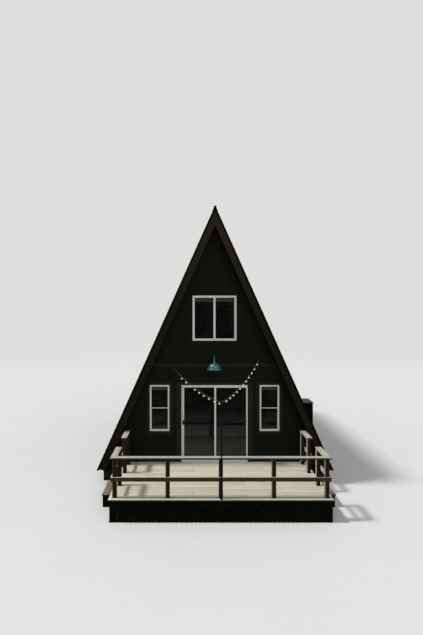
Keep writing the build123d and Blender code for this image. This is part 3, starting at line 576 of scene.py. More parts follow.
def lay_on_slope(bm, verts, side):
    """Carry (up the slope from the eave, Y, out of the slope) into place, on the left or right."""
    up = Vector((-side * math.sin(half_angle), 0, math.cos(half_angle)))
    out = Vector((side * math.cos(half_angle), 0, math.sin(half_angle)))
    place = Matrix((
        (up.x, 0, out.x, -side * cover_low.x), (0, 1, 0, 0), (up.z, 0, out.z, eave_z), (0, 0, 0, 1),
    ))
    bmesh.ops.transform(bm, matrix=place, verts=verts)
    bmesh.ops.recalc_face_normals(bm, faces=bm.faces)


def bevel_sharp(bm, offset, segments=2):
    """Ease the sharp edges."""
    sharp = [e for e in bm.edges if e.is_manifold and e.calc_face_angle() > math.radians(30)]
    bmesh.ops.bevel(
        bm, geom=sharp, offset=offset, offset_type="OFFSET", segments=segments, profile=0.5,
        affect="EDGES", material=-1, clamp_overlap=True,
    )


def copied(node):
    """A copy of a node's mesh with its vertices joined and its curved faces kept."""
    bm = bmesh.new()
    bm.from_mesh(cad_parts[node].data)
    bmesh.ops.remove_doubles(bm, verts=bm.verts, dist=0.00002)
    return bm


def merged(node):
    """A copy of a node's mesh, with its loose triangles joined into whole faces."""
    bm = copied(node)
    bmesh.ops.dissolve_limit(
        bm, angle_limit=math.radians(0.8), verts=bm.verts, edges=bm.edges,
        use_dissolve_boundaries=False,
    )
    return bm


def solids(node):
    """The lowest and highest corner of each separate solid of a node."""
    bm = merged(node)
    found = []
    waiting = set(bm.verts)
    while waiting:
        island = [waiting.pop()]
        for vert in island:
            for edge in vert.link_edges:
                other = edge.other_vert(vert)
                if other in waiting:
                    waiting.discard(other)
                    island.append(other)
        parts = [[vert.co[axis] for vert in island] for axis in range(3)]
        found.append((Vector([min(part) for part in parts]), Vector([max(part) for part in parts])))
    bm.free()
    return sorted(found, key=lambda corners: tuple(corners[0]))


def without(rects, holes):
    """Rectangles (left, right, bottom, top) with every hole cut out of them."""
    least = 0.002
    for hole_left, hole_right, hole_bottom, hole_top in holes:
        kept = []
        for left, right, bottom, top in rects:
            near, far = max(left, hole_left), min(right, hole_right)
            low, high = max(bottom, hole_bottom), min(top, hole_top)
            if near >= far or low >= high:
                kept.append((left, right, bottom, top))
                continue
            kept += [(left, near, bottom, top), (far, right, bottom, top)]
            kept += [(near, far, bottom, low), (near, far, high, top)]
        rects = [rect for rect in kept if rect[1] - rect[0] > least and rect[3] - rect[2] > least]
    return rects


def publish(name, bm, finishes, body="cabin", smooth=None, replaced=None):
    """Turn a mesh into a piece that rides on a body, with its finishes in their order."""
    if smooth is not None:
        for face in bm.faces:
            face.smooth = True
        for edge in bm.edges:
            edge.smooth = not edge.is_manifold or edge.calc_face_angle() < math.radians(smooth)
    mesh = bpy.data.meshes.new(name)
    bm.to_mesh(mesh)
    bm.free()
    piece = bpy.data.objects.new(name, mesh)
    bpy.context.scene.collection.objects.link(piece)
    for finish in finishes.split():
        mesh.materials.append(finish_named(finish))
    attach(piece, body)
    if replaced is not None:
        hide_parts(replaced)
    return piece


def dress(node, finish):
    """Give a node that keeps its own mesh its finish."""
    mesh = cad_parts[node].data
    mesh.materials.clear()
    mesh.materials.append(finish_named(finish))


def eased(node, name, finish, offset=0.003, body="cabin", segments=2):
    """Replace a node by a copy of itself with eased edges."""
    bm = merged(node)
    bevel_sharp(bm, offset, segments)
    return publish(name, bm, finish, body, 35, node)


class CABIN_OT_camera(bpy.types.Operator):
    """Place the camera where the photograph was taken from"""

    bl_idname = "cabin.camera"
    bl_label = "Camera"

    def execute(self, context):
        image_width, image_height = 423.0, 635.0
        centre_x, centre_y = 190.74, 312.19
        focal_pixels = 442.74
        data = bpy.data.cameras.new("photo_camera")
        data.sensor_width = 36.0
        data.lens = focal_pixels * data.sensor_width / image_height
        data.shift_x = (image_width / 2 - centre_x) / image_height
        data.shift_y = (centre_y - image_height / 2) / image_height
        data.clip_end = 500.0
        camera = bpy.data.objects.new("photo_camera", data)
        camera.location = (-0.644, -12.05, 4.549)
        camera.rotation_euler = (math.radians(90), 0, 0)
        context.scene.collection.objects.link(camera)
        context.scene.camera = camera
        return {"FINISHED"}


def lay_floor(scene, pale):
    """A round floor that fades into the background, with shade painted on it under the deck."""
    bm = bmesh.new()
    bmesh.ops.create_circle(bm, cap_ends=True, cap_tris=True, radius=90.0, segments=96)
    mesh = bpy.data.meshes.new("studio_floor")
    bm.to_mesh(mesh)
    bm.free()
    floor = bpy.data.objects.new("studio_floor", mesh)
    scene.collection.objects.link(floor)
    finish = Finish("studio_floor", Roughness=0.9, Specular_IOR_Level=0.1)
    shade = finish.tinted(pale, (finish.noise(0.6), 0.985, 1.015))
    # Painted shade: under the deck the floor darkens to this colour.
    finish.paint(finish.mix(painted_deck_shade(finish), shade, (0.07, 0.067, 0.058)))
    glow = finish.add("ShaderNodeEmission", {"Color": (*pale, 1.0), "Strength": 1.0})
    away = finish.add("ShaderNodeVectorMath", {0: finish.place}, operation="LENGTH")
    reach = {0: away.outputs["Value"], 1: 16.0, 2: 45.0}
    fade = finish.add("ShaderNodeMapRange", reach, interpolation_type="SMOOTHSTEP").outputs[0]
    mesh.materials.append(finish.show(finish.mix_shaders(fade, finish.shader, glow)))


def painted_deck_shade(finish):
    """One where the floor lies deep in the deck's shade, and nought elsewhere: the mask of the
    painted shade.
    """
    low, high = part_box("deck_boards")
    place = finish.axes()
    inset, soft = 0.02, 0.03
    aside = finish.math("ABSOLUTE", place["X"])
    aside = finish.span(aside, high.x - inset - soft, high.x - inset, 1.0, 0.0)
    near = finish.span(place["Y"], low.y + inset, low.y + inset + soft)
    far = finish.span(place["Y"], high.y - soft, high.y, 1.0, 0.0)
    return finish.math("MULTIPLY", aside, finish.math("MULTIPLY", near, far))


def light_studio(scene, pale):
    """A soft key from the upper left, a weak fill from the front and an even sky."""
    for name, strength, spread, direction in (
        ("key_light", 2.2, 7.0, (0.66, 0.04, -0.95)),
        ("fill_light", 0.72, 60.0, (-0.25, 1.0, -0.35)),
    ):
        data = bpy.data.lights.new(name, "SUN")
        data.energy = strength
        data.angle = math.radians(spread)
        lamp = bpy.data.objects.new(name, data)
        lamp.rotation_euler = Vector(direction).to_track_quat("-Z", "Y").to_euler()
        scene.collection.objects.link(lamp)
    world = bpy.data.worlds.new("studio_world")
    world.use_nodes = True
    scene.world = world
    tree = world.node_tree
    sky = tree.nodes["Background"]
    sky.inputs["Color"].default_value = (0.98, 0.99, 1.0, 1.0)
    sky.inputs["Strength"].default_value = 0.42
    seen = add_node(tree, "ShaderNodeBackground", {"Color": (*pale, 1.0)})
    rays = add_node(tree, "ShaderNodeLightPath").outputs
    share = rays["Is Camera Ray"]
    for ray in ("Is Glossy Ray", "Is Transmission Ray"):
        either = add_node(tree, "ShaderNodeMath", {0: share, 1: rays[ray]}, operation="MAXIMUM")
        share = either.outputs[0]
    blend = add_node(tree, "ShaderNodeMixShader", {0: share, 1: sky.outputs[0], 2: seen.outputs[0]})
    tree.links.new(blend.outputs[0], tree.nodes["World Output"].inputs["Surface"])


class CABIN_OT_stage(bpy.types.Operator):
    """Lay the pale floor and set the soft studio light"""

    bl_idname = "cabin.stage"
    bl_label = "Stage"

    def execute(self, context):
        scene = context.scene
        scene.view_settings.view_transform = "Standard"
        pale = (0.74, 0.735, 0.72)
        lay_floor(scene, pale)
        light_studio(scene, pale)
        return {"FINISHED"}


def hanging(hook, foot, runs, sag):
    """Points of a hanging cable, from ends in millimetres and kept to whole ones."""
    points = []
    for step in range(runs + 1):
        share = step / runs
        x, y, z = (start + (end - start) * share for start, end in zip(hook, foot))
        z -= 4 * sag * share * (1 - share)
        points.append(tuple(round(value) / 1000 for value in (x, y, z)))
    return points


# Route of each cable, from its wall hook to the pole
left_route = hanging((-1116, -98, 3052), (14, -2463, 2599), 21, 117.0)
right_route = hanging((1200, -98, 3265), (29, -2463, 2599), 24, 136.5)

# Runs of each route that a bulb hangs from; the left cable starts with a bare stretch
left_bulb_runs = range(5, len(left_route), 2)
right_bulb_runs = range(2, len(right_route) - 1, 2)


def hang_cable(name, route, node):
    """A smooth hanging cable along a route."""
    data = bpy.data.curves.new(name, "CURVE")
    data.dimensions = "3D"
    data.bevel_depth = sizes().cable_diameter / 2
    data.bevel_resolution = 3
    data.resolution_u = 6
    data.use_fill_caps = True
    spline = data.splines.new("NURBS")
    spline.points.add(len(route) - 1)
    for point, place in zip(spline.points, route):
        point.co = (*place, 1.0)
    spline.order_u = 3
    spline.use_endpoint_u = True
    data.materials.append(finish_named("rubber"))
    cable = bpy.data.objects.new(name, data)
    bpy.context.scene.collection.objects.link(cable)
    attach(cable, "cabin")
    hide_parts(node)
    return cable


def line_of(cable):
    """Points of a cable's own smooth line."""
    bare = cable.copy()
    bare.data = cable.data.copy()
    bare.data.bevel_depth = 0.0
    bare.data.use_fill_caps = False
    mesh = bpy.data.meshes.new_from_object(bare)
    points = [v.co.copy() for v in mesh.vertices]
    curve = bare.data
    bpy.data.meshes.remove(mesh)
    bpy.data.objects.remove(bare)
    bpy.data.curves.remove(curve)
    return points


def hang_bulbs(name, cable, route, runs):
    """Sockets and round bulbs under a cable, at the middle of the runs named."""
    socket = [
        (0.0000, 0.0000), (0.0060, -0.0005), (0.0070, -0.0050), (0.0122, -0.0060),
        (0.0130, -0.0085), (0.0122, -0.0110), (0.0128, -0.0135), (0.0115, -0.0265),
        (0.0102, -0.0280),
    ]
    radius, centre, collar_angle, steps = 0.0185, -0.0439, 32, 8
    globe = [(0.0100, -0.0275)]
    for step in range(1, steps + 1):
        angle = math.radians(collar_angle + step * (180 - collar_angle) / steps)
        globe.append((radius * math.sin(angle), centre + radius * math.cos(angle)))
    line = line_of(cable)
    bm = bmesh.new()
    for run in runs:
        middle = centre_of(route[run - 1], route[run])
        top = min(line, key=lambda point: (point - middle).length)
        spin_profile(bm, top, socket, 14)
        spin_profile(bm, top, globe, 16, material=1)
    return publish(name, bm, "metal bulb", smooth=50, replaced="string_bulbs")


class CABIN_OT_string_lights(bpy.types.Operator):
    """Hang the two cables of the string lights, with their bulbs"""

    bl_idname = "cabin.string_lights"
    bl_label = "String lights"

    def execute(self, context):
        for side, route, runs, whole in (
            ("left", left_route, left_bulb_runs, 2.67),
            ("right", right_route, right_bulb_runs, 2.74),
        ):
            cable = hang_cable("string_lights_" + side, route, "string_cable_" + side)
            bulbs = hang_bulbs("string_bulbs_" + side, cable, route, runs)
        return {"FINISHED"}


def lay_siding(name, covering, outward, face):
    """Boards between grooves, cut round the openings and down the slopes."""
    size = sizes()
    holes = []
    for node in covering:
        for low, high in solids(node):
            if (low.y > room_back - 1.0) == (outward > 0):
                holes.append((low.x, high.x, low.z, high.z))
    wall_low, wall_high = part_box("back_wall")
    count = math.ceil(wall_high.x / size.groove_pitch)
    half_groove, rise, root = size.groove_width / 2, 0.003, 0.001
    boards = [
        (
            step * size.groove_pitch + half_groove, (step + 1) * size.groove_pitch - half_groove,
            wall_low.z + rise, gable_high.z,
        )
        for step in range(-count, count)
    ]
    bm = bmesh.new()
    near, far = sorted((face + outward * size.siding_relief, face - outward * root))
    for left, right, bottom, top in without(boards, holes):
        add_block(bm, (left, near, bottom), (right, far, top))
    for side in (-1, 1):
        cut(bm, gable_high.z, side)
    publish(name, bm, "siding")


def add_skirt():
    """A board along the foot of the back wall."""
    low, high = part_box("floor_joists")
    thick, lap = 0.016, 0.03
    bm = bmesh.new()
    add_block(bm, (low.x, back_face, low.z), (high.x, back_face + thick, high.z + lap))
    bevel_sharp(bm, 0.003)
    publish("back_skirt_board", bm, "trim", smooth=35)


class CABIN_OT_siding(bpy.types.Operator):
    """Lay the grooved panels on the front and back walls"""

    bl_idname = "cabin.siding"
    bl_label = "Siding"

    def execute(self, context):
        front = (
            "front_casings", "side_window_frames", "upper_window_frame", "door_frame", "wall_bands",
        )
        back = ("back_casings", "back_window_frames", "wall_bands")
        lay_siding("front_siding", front, -1, front_face)
        lay_siding("back_siding", back, 1, back_face)
        for node in (
            "front_wall_left", "front_wall_right", "front_wall_header", "front_gable",
            "back_wall", "back_gable",
        ):
            dress(node, "siding")
        add_skirt()
        return {"FINISHED"}


class CABIN_OT_trim(bpy.types.Operator):
    """Ease the casings and the bands across the walls"""

    bl_idname = "cabin.trim"
    bl_label = "Casings and bands"

    def execute(self, context):
        eased("front_casings", "front_casing_boards", "trim")
        eased("back_casings", "back_casing_boards", "trim")
        eased("wall_bands", "band_boards", "trim", 0.002)
        return {"FINISHED"}


# Thickness of a tab at its lower edge
shingle_thickness = 0.006


def shingle_slope(side, word, chance):
    """Courses of overlapping tabs, each one a thin wedge."""
    size = sizes()
    rows = math.ceil(slope_length / size.shingle_exposure)
    exposure = slope_length / rows
    lap, joint, edge, least, overhang, stray = 1.35, 0.005, 0.004, 0.03, 0.010, 0.003
    near, far = cover_low.y - edge, cover_high.y + edge
    bm = bmesh.new()
    for row in range(rows):
        left = near - (row % 2) * size.shingle_width / 2
        while left < far:
            right = left + size.shingle_width
            start, end = max(left, near), min(right, far)
            if end - start > least:
                foot = row * exposure - overhang + chance.uniform(-stray, stray)
                head = min(foot + lap * exposure, slope_length)
                low, high = (foot, start + joint / 2, 0), (head, end - joint / 2, shingle_thickness)
                upper = [v for v in add_block(bm, low, high) if v.co.x > (foot + head) / 2]
                bmesh.ops.translate(bm, verts=upper, vec=(0, 0, -shingle_thickness))
            left = right
    lay_on_slope(bm, bm.verts, side)
    publish("shingles_" + word, bm, "shingle")


def shingle_ridge():
    """Folded shingles along the ridge, over the ridge cap."""
    low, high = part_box("ridge_cap")
    foot = slope_length - high.x / math.sin(half_angle)
    base = (high.z - ridge_z) * math.sin(half_angle)
    top, lap, root, overlap, tail = base + shingle_thickness, 1.3, 0.001, 0.003, 0.0005
    count = math.ceil((high.y - low.y) / sizes().shingle_exposure)
    step = (high.y - low.y) / count
    bm = merged("ridge_cap")
    for side in (-1, 1):
        legs = []
        for place in range(count):
            start = low.y + place * step
            end = min(start + lap * step, high.y)
            verts = add_block(bm, (foot, start, base - root), (slope_length + overlap, end, top))
            behind = [v for v in verts if v.co.y > (start + end) / 2]
            bmesh.ops.translate(bm, verts=behind, vec=(0, 0, tail - shingle_thickness))
            legs += verts
        lay_on_slope(bm, legs, side)
    publish("ridge_shingles", bm, "shingle", replaced="ridge_cap")


def add_drip_edges():
    """Folded metal over the four sloping edges and the two eaves; near black, partly dark metal and
    partly a painted shadow of the shingles' edge.
    """
    thick, drop, lip = 0.003, 0.046, 0.002
    front, back = cover_low.y, cover_high.y
    bm = bmesh.new()
    for side in (-1, 1):
        verts = add_block(bm, (0, front - thick, -drop), (slope_length, front, lip))
        verts += add_block(bm, (0, back, -drop), (slope_length, back + thick, lip))
        verts += add_block(bm, (-thick, front, -drop), (0, back, 0))
        lay_on_slope(bm, verts, side)
    publish("drip_edges", bm, "edge_metal")


class CABIN_OT_roof(bpy.types.Operator):
    """Shingle the roof and its ridge, and finish the rakes and the lining"""

    bl_idname = "cabin.roof"
    bl_label = "Roof"

    def execute(self, context):
        chance = random.Random(7)
        for side, word in ((-1, "left"), (1, "right")):
            shingle_slope(side, word, chance)
            dress("roof_cover_" + word, "shingle")
            dress("roof_" + word, "lining")
        shingle_ridge()
        add_drip_edges()
        eased("front_rakes", "front_rake_boards", "rake")
        eased("back_rakes", "back_rake_boards", "rake")
        return {"FINISHED"}


def hang_blinds():
    """Raised blinds at the front, and a drawn dark one at the back of the loft, a dark sheet that
    paints shade into the loft window.
    """
    drop, side_gap, over, front_gap, back_gap = sizes().blind_drop, 0.008, 0.006, 0.010, 0.032
    pleat, drawn_pleat = 0.014, 0.024
    panes = solids("front_window_glass") + solids("back_window_glass")
    tops = [high.z for low, high in panes]
    front, back = bmesh.new(), bmesh.new()
    for node in ("side_window_frames", "upper_window_frame", "back_window_frames"):
        for low, high in solids(node):
            at_back = node == "back_window_frames"
            bm, depth = (back, low.y - back_gap) if at_back else (front, high.y + front_gap)
            if at_back and high.z > gable_low.z:
                low, high = low - Vector((over, 0, over)), high + Vector((over, 0, over))
                add_blind(bm, low.x, high.x, high.z, low.z, depth, drawn_pleat)
            else:
                bottom = max(top for top in tops if top < high.z) - drop
                left, right, top = low.x + side_gap, high.x - side_gap, high.z - side_gap
                add_blind(bm, left, right, top, bottom, depth, pleat)
    publish("front_blinds", front, "cloth")
    publish("back_blinds", back, "dark_cloth")


def add_blind(bm, left, right, top, bottom, depth, pleat):
    """A pleated blind with its head rail and bottom rail."""
    head, foot, fold, thick, lip, shelf = 0.028, 0.012, 0.016, 0.001, 0.002, 0.004
    add_block(bm, (left, depth - lip, top - head), (right, depth + fold + shelf, top))
    add_block(bm, (left, depth, bottom), (right, depth + fold, bottom + foot))
    cloth_top, cloth_bottom = top - head, bottom + foot
    folds = 2 * max(2, round((cloth_top - cloth_bottom) / pleat))
    place = Matrix.Translation(((left + right) / 2, depth, (cloth_top + cloth_bottom) / 2))
    place = place @ Matrix.Rotation(math.radians(90), 4, "X")
    place = place @ Matrix.Diagonal((right - left, cloth_top - cloth_bottom, 1.0, 1.0))
    grid = bmesh.ops.create_grid(bm, x_segments=1, y_segments=folds, size=0.5, matrix=place)
    cloth = grid["verts"]
    step = (cloth_top - cloth_bottom) / folds
    odd = [v for v in cloth if round((v.co.z - cloth_bottom) / step) % 2]
    bmesh.ops.translate(bm, verts=odd, vec=(0, fold, 0))
    pleats = list(dict.fromkeys(face for vert in cloth for face in vert.link_faces))
    bmesh.ops.solidify(bm, geom=pleats, thickness=thick)


class CABIN_OT_windows(bpy.types.Operator):
    """Finish the windows with eased frames, gaskets and pleated blinds"""

    bl_idname = "cabin.windows"
    bl_label = "Windows"

    def execute(self, context):
        eased("upper_window_frame", "upper_window_sashes", "vinyl", 0.0025)
        eased("side_window_frames", "side_window_sashes", "vinyl", 0.0025)
        eased("back_window_frames", "back_window_sashes", "vinyl", 0.0025)
        for node in ("front_window_glass", "back_window_glass"):
            dress(node, "glass")
            bm = bmesh.new()
            for low, high in solids(node):
                add_ring(bm, low, high, 0.006)
            publish(node.replace("glass", "gaskets"), bm, "gasket")
        hang_blinds()
        return {"FINISHED"}


class CABIN_OT_door(bpy.types.Operator):
    """Finish the sliding door and its handle"""

    bl_idname = "cabin.door"
    bl_label = "Sliding door"

    def execute(self, context):
        eased("door_frame", "door_frame_eased", "vinyl")
        eased("door_fixed_panel", "door_fixed_leaf", "vinyl")
        eased("door_sliding_panel", "door_sliding_leaf", "vinyl", body="door_panel")
        for node, body in (("door_fixed_glass", "cabin"), ("door_sliding_glass", "door_panel")):
            dress(node, "glass")
            bm = bmesh.new()
            add_ring(bm, *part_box(node), 0.008)
            publish(node.replace("glass", "gasket"), bm, "gasket", body)
        eased("door_handle", "door_pulls", "metal", 0.003, "door_panel", 3)
        return {"FINISHED"}


def lay_deck():
    """Boards along the deck, with a joint over a joist in each row and two screws a joist."""
    size = sizes()
    low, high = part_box("deck_boards")
    joists = [centre_of(*corners).x for corners in solids("deck_joists")]
    joints = (joists[2], joists[5], joists[3], joists[6], joists[4])
    half_joint, screw_in, screw_aside, screw_end = 0.0015, 0.028, 0.010, 0.05
    rows = round((high.y - low.y) / (size.deck_board_width + size.deck_board_gap))
    step = (high.y - low.y + size.deck_board_gap) / rows
    bm, screws = bmesh.new(), bmesh.new()
    for row in range(rows):
        near = low.y + row * step
        far = near + step - size.deck_board_gap
        joint = joints[row % len(joints)]
        for left, right in ((low.x, joint - half_joint), (joint + half_joint, high.x)):
            add_block(bm, (left, near, low.z), (right, far, high.z))
        for joist in joists:
            x = min(max(joist, low.x + screw_end), high.x - screw_end) + screw_aside
            for y in (near + screw_in, far - screw_in):
                add_stud(screws, (x, y, high.z), (0, 0, 1), 0.0042, 0.0008, 8, 0.8)
    bevel_sharp(bm, 0.003)
    publish("deck_planks", bm, "deck", smooth=35, replaced="deck_boards")
    publish("deck_screws", screws, "metal")


def lay_treads():
    """Two boards to each step."""
    bm = bmesh.new()
    half_gap = sizes().deck_board_gap / 2
    for low, high in solids("step_treads"):
        middle = centre_of(low, high).x
        add_block(bm, low, (middle - half_gap, high.y, high.z))
        add_block(bm, (middle + half_gap, low.y, low.z), high)
    bevel_sharp(bm, 0.003)
    publish("step_planks", bm, "tread", smooth=35, replaced="step_treads")


class CABIN_OT_deck(bpy.types.Operator):
    """Lay the deck boards, their screws, the steps and the timber beneath"""

    bl_idname = "cabin.deck"
    bl_label = "Deck and steps"

    def execute(self, context):
        lay_deck()
        lay_treads()
        eased("step_boxes", "step_sides", "lattice")
        eased("deck_rims", "deck_rim_joists", "under_x")
        eased("deck_joists", "deck_joist_timbers", "under_y", segments=1)
        eased("deck_posts", "deck_post_timbers", "under_z")
        eased("front_lattice", "front_lattice_slats", "lattice", 0.0015, segments=1)
        eased("side_lattices", "side_lattice_slats", "lattice", 0.0015, segments=1)
        return {"FINISHED"}


def fix_rails():
    """Bolts through the mid rails, and screws down into the posts."""
    rail_low, rail_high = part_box("front_mid_rail")
    sides_low, sides_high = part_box("side_mid_rails")
    cap_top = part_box("front_rail_cap")[1].z
    bolt_height = centre_of(rail_low, rail_high).z
    bolt_aside, screw_aside = 0.022, 0.02
    bm = bmesh.new()
    for node in ("front_rail_posts", "side_rail_posts"):
        for corners in solids(node):
            post = centre_of(*corners)
            if node == "front_rail_posts":
                outward, along = Vector((0, -1, 0)), Vector((1, 0, 0))
                face = Vector((post.x, rail_low.y, bolt_height))
            else:
                side = math.copysign(1, post.x)
                outward, along = Vector((side, 0, 0)), Vector((0, 1, 0))
                face = Vector((sides_low.x if side < 0 else sides_high.x, post.y, bolt_height))
            top = Vector((post.x, post.y, cap_top))
            for sign in (-1, 1):
                add_stud(bm, face + Vector((0, 0, sign * bolt_aside)), outward, 0.009, 0.004, 12)
            for sign in (-1, 1):
                add_stud(bm, top + along * sign * screw_aside, (0, 0, 1), 0.0045, 0.001, 8, 0.8)
    publish("rail_fixings", bm, "metal", smooth=40)


class CABIN_OT_rails(bpy.types.Operator):
    """Finish the rails and posts, with their bolts and screws"""

    bl_idname = "cabin.rails"
    bl_label = "Rails"

    def execute(self, context):
        eased("front_rail_posts", "front_post_timbers", "post", 0.004)
        eased("side_rail_posts", "side_post_timbers", "post", 0.004)
        eased("front_mid_rail", "front_mid_rail_board", "rail_x", 0.004)
        eased("side_mid_rails", "side_mid_rail_boards", "rail_y", 0.004)
        eased("front_rail_cap", "front_cap_board", "rail_x", 0.005)
        eased("side_rail_caps", "side_cap_boards", "rail_y", 0.005)
        fix_rails()
        return {"FINISHED"}


def finish_arm():
    """The bent tube, and its wall plate with three screws."""
    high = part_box("lamp_arm")[1]
    plate_t, wall_edge, screw_out, blend = 0.012, 0.001, 0.028, 0.003
    bm = copied("lamp_arm")
    at_wall = [vert.co for vert in bm.verts if vert.co.y > high.y - wall_edge]
    plate = sum(at_wall, Vector()) / len(at_wall)
    for angle in (90, 210, 330):
        turn = math.radians(angle)
        x, z = plate.x + screw_out * math.cos(turn), plate.z + screw_out * math.sin(turn)
        add_stud(bm, (x, high.y - plate_t, z), (0, -1, 0), 0.005, 0.002, 8)
    for face in bm.faces:
        face.material_index = int(face.calc_center_median().y > high.y - plate_t - blend)
    shade_low, shade_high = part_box("lamp_shade")
    neck = centre_of(shade_low, shade_high)
    neck.z = shade_high.z
    nut = [
        (0.011, 0.000), (0.017, 0.000), (0.020, 0.005), (0.020, 0.015), (0.016, 0.021),
        (0.011, 0.022),
    ]
    spin_profile(bm, neck, nut, 24)
    ring = [(0.019, -0.027), (0.0205, -0.026), (0.0205, -0.019), (0.019, -0.018)]
    spin_profile(bm, neck, ring, 24, material=1)
    publish("lamp_gooseneck", bm, "enamel trim", smooth=40, replaced="lamp_arm")


def spin_shade():
    """A dome on a stepped neck, with a brim that curls down; teal outside, white inside."""
    low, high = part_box("lamp_shade")
    rim, tall = (high.x - low.x) / 2, high.z - low.z
    outside = [
        (0.000, 1.000), (0.077, 1.000), (0.084, 0.996), (0.084, 0.952), (0.094, 0.929),
        (0.094, 0.897), (0.118, 0.853), (0.138, 0.794), (0.148, 0.754), (0.177, 0.732),
        (0.264, 0.712), (0.377, 0.687), (0.484, 0.648), (0.583, 0.596), (0.670, 0.534),
        (0.741, 0.462), (0.791, 0.385), (0.820, 0.313), (0.830, 0.262), (0.830, 0.234),
        (0.847, 0.206), (0.892, 0.179), (0.946, 0.159), (0.988, 0.143), (1.000, 0.123),
        (0.998, 0.091), (0.978, 0.040), (0.958, 0.008), (0.946, 0.000),
    ]
    inside = [
        (0.946, 0.000), (0.938, 0.006), (0.961, 0.048), (0.978, 0.091), (0.978, 0.123),
        (0.936, 0.143), (0.882, 0.165), (0.835, 0.194), (0.815, 0.226), (0.815, 0.262),
        (0.805, 0.310), (0.776, 0.377), (0.727, 0.450), (0.656, 0.522), (0.568, 0.585),
        (0.469, 0.636), (0.363, 0.675), (0.249, 0.700), (0.133, 0.710), (0.000, 0.712),
    ]
    foot = centre_of(low, high)
    foot.z = low.z
    bm = bmesh.new()
    for index, profile in enumerate((outside, inside)):
        spin_profile(bm, foot, [(rim * r, tall * h) for r, h in profile], 48, index)
    bmesh.ops.remove_doubles(bm, verts=bm.verts, dist=0.00005)
    bmesh.ops.recalc_face_normals(bm, faces=bm.faces)
    publish("lamp_bell", bm, "enamel white_enamel", smooth=45, replaced="lamp_shade")


def spin_bulb():
    """A round bulb in its socket."""
    low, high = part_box("lamp_bulb")
    radius, tall = (high.x - low.x) / 2, high.z - low.z
    socket, collar, bead = 0.016, 2 * radius, 0.0175
    foot = centre_of(low, high)
    foot.z = low.z
    fitting = [
        (0.0, tall), (socket, tall), (socket, collar + 0.008), (bead, collar + 0.005),
        (bead, collar + 0.001), (socket, collar - 0.003), (0.0, collar - 0.004),
    ]
    turns = [math.radians(angle) for angle in range(22, 181, 14)]
    globe = [(radius * math.sin(turn), radius + radius * math.cos(turn)) for turn in turns]
    bm = bmesh.new()
    spin_profile(bm, foot, fitting, 24)
    spin_profile(bm, foot, [(0.0, collar - 0.0035), *globe, (0.0, 0.0)], 24, material=1)
    publish("lamp_globe", bm, "metal lamp_bulb", smooth=50, replaced="lamp_bulb")


class CABIN_OT_lamp(bpy.types.Operator):
    """Hang the barn lamp over the door"""

    bl_idname = "cabin.lamp"
    bl_label = "Barn lamp"

    def execute(self, context):
        spin_shade()
        finish_arm()
        spin_bulb()
        return {"FINISHED"}


class CABIN_OT_pole(bpy.types.Operator):
    """Fix the pole of the string lights to the rail, and the hooks to the wall"""

    bl_idname = "cabin.pole"
    bl_label = "Light pole and hooks"

    def execute(self, context):
        low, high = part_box("light_pole")
        pole = centre_of(low, high)
        sleeve, half_width, half_height, strap, screw_aside = 0.017, 0.036, 0.011, 0.003, 0.028
        bm = copied("light_pole")
        for node in ("front_mid_rail", "front_rail_cap"):
            rail_low, rail_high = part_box(node)
            middle = Vector((pole.x, rail_low.y, centre_of(rail_low, rail_high).z))
            bmesh.ops.create_cone(
                bm, cap_ends=True, segments=24, radius1=sleeve, radius2=sleeve,
                depth=2 * half_height, matrix=Matrix.Translation((pole.x, pole.y, middle.z)),
            )
            corner = Vector((half_width, 0, half_height))
            add_block(bm, middle - corner - Vector((0, strap, 0)), middle + corner)
            for side in (-1, 1):
                screw = middle + Vector((side * screw_aside, -strap, 0))
                add_stud(bm, screw, (0, -1, 0), 0.005, 0.002, 8)
        add_stud(bm, (pole.x, pole.y, low.z), (0, 0, 1), 0.034, 0.005, 32, 0.94)
        publish("pole_and_clips", bm, "pole_metal", smooth=40, replaced="light_pole")
        hooks = copied("wall_hooks")
        publish("hooks", hooks, "metal", smooth=40, replaced="wall_hooks")
        return {"FINISHED"}


def board_cupboard(low, high):
    """Upright boards on both ends, cut to the roof."""
    board, joint, thick, root, rise, top_gap = 0.106, 0.004, 0.008, 0.001, 0.012, 0.002
    count = round((high.x - low.x) / board)
    step = (high.x - low.x) / count
    bottom, top = low.z + rise, high.z - top_gap
    bm = bmesh.new()
    for index in range(count):
        left, right = low.x + index * step + joint / 2, low.x + (index + 1) * step - joint / 2
        add_block(bm, (left, low.y - thick, bottom), (right, low.y + root, top))
        add_block(bm, (left, high.y - root, bottom), (right, high.y + thick, top))
    cut(bm, ridge_z, 1, keep_inside=False)
    publish("cupboard_boards", bm, "cupboard")


def hang_cupboard_doors(low, high):
    """Two boarded doors on the outer side, with straps and a catch."""
    middle = centre_of(low, high).y
    edge, gap, count, half_joint, root, foot, head = 0.030, 0.004, 3, 0.0015, 0.001, 0.06, 0.05
    strap_start, strap_reach, strap_up, half_strap, strap_t = 0.015, 0.19, 0.30, 0.016, 0.003
    catch_reach, catch_low, catch_high, catch_t = 0.05, 0.86, 0.90, 0.005
    face = high.x + 0.010
    bm, straps = bmesh.new(), bmesh.new()
    doors = (low.y + edge, middle - gap, low.y), (middle + gap, high.y - edge, high.y)
    for near, far, hinge in doors:
        step = (far - near) / count
        for index in range(count):
            start, end = near + index * step + half_joint, near + (index + 1) * step - half_joint
            add_block(bm, (high.x - root, start, low.z + foot), (face, end, high.z - head))
        way = math.copysign(1, middle - hinge)
        start, end = sorted((hinge + way * strap_start, hinge + way * strap_reach))
        for z in (low.z + strap_up, high.z - strap_up):
            add_block(straps, (face, start, z - half_strap), (face + strap_t, end, z + half_strap))
    catch_end = (face + catch_t, middle + catch_reach, catch_high)
    add_block(straps, (face, middle - catch_reach, catch_low), catch_end)
    bevel_sharp(bm, 0.002)
    publish("cupboard_doors", bm, "cupboard", smooth=35)
    publish("cupboard_straps", straps, "metal")


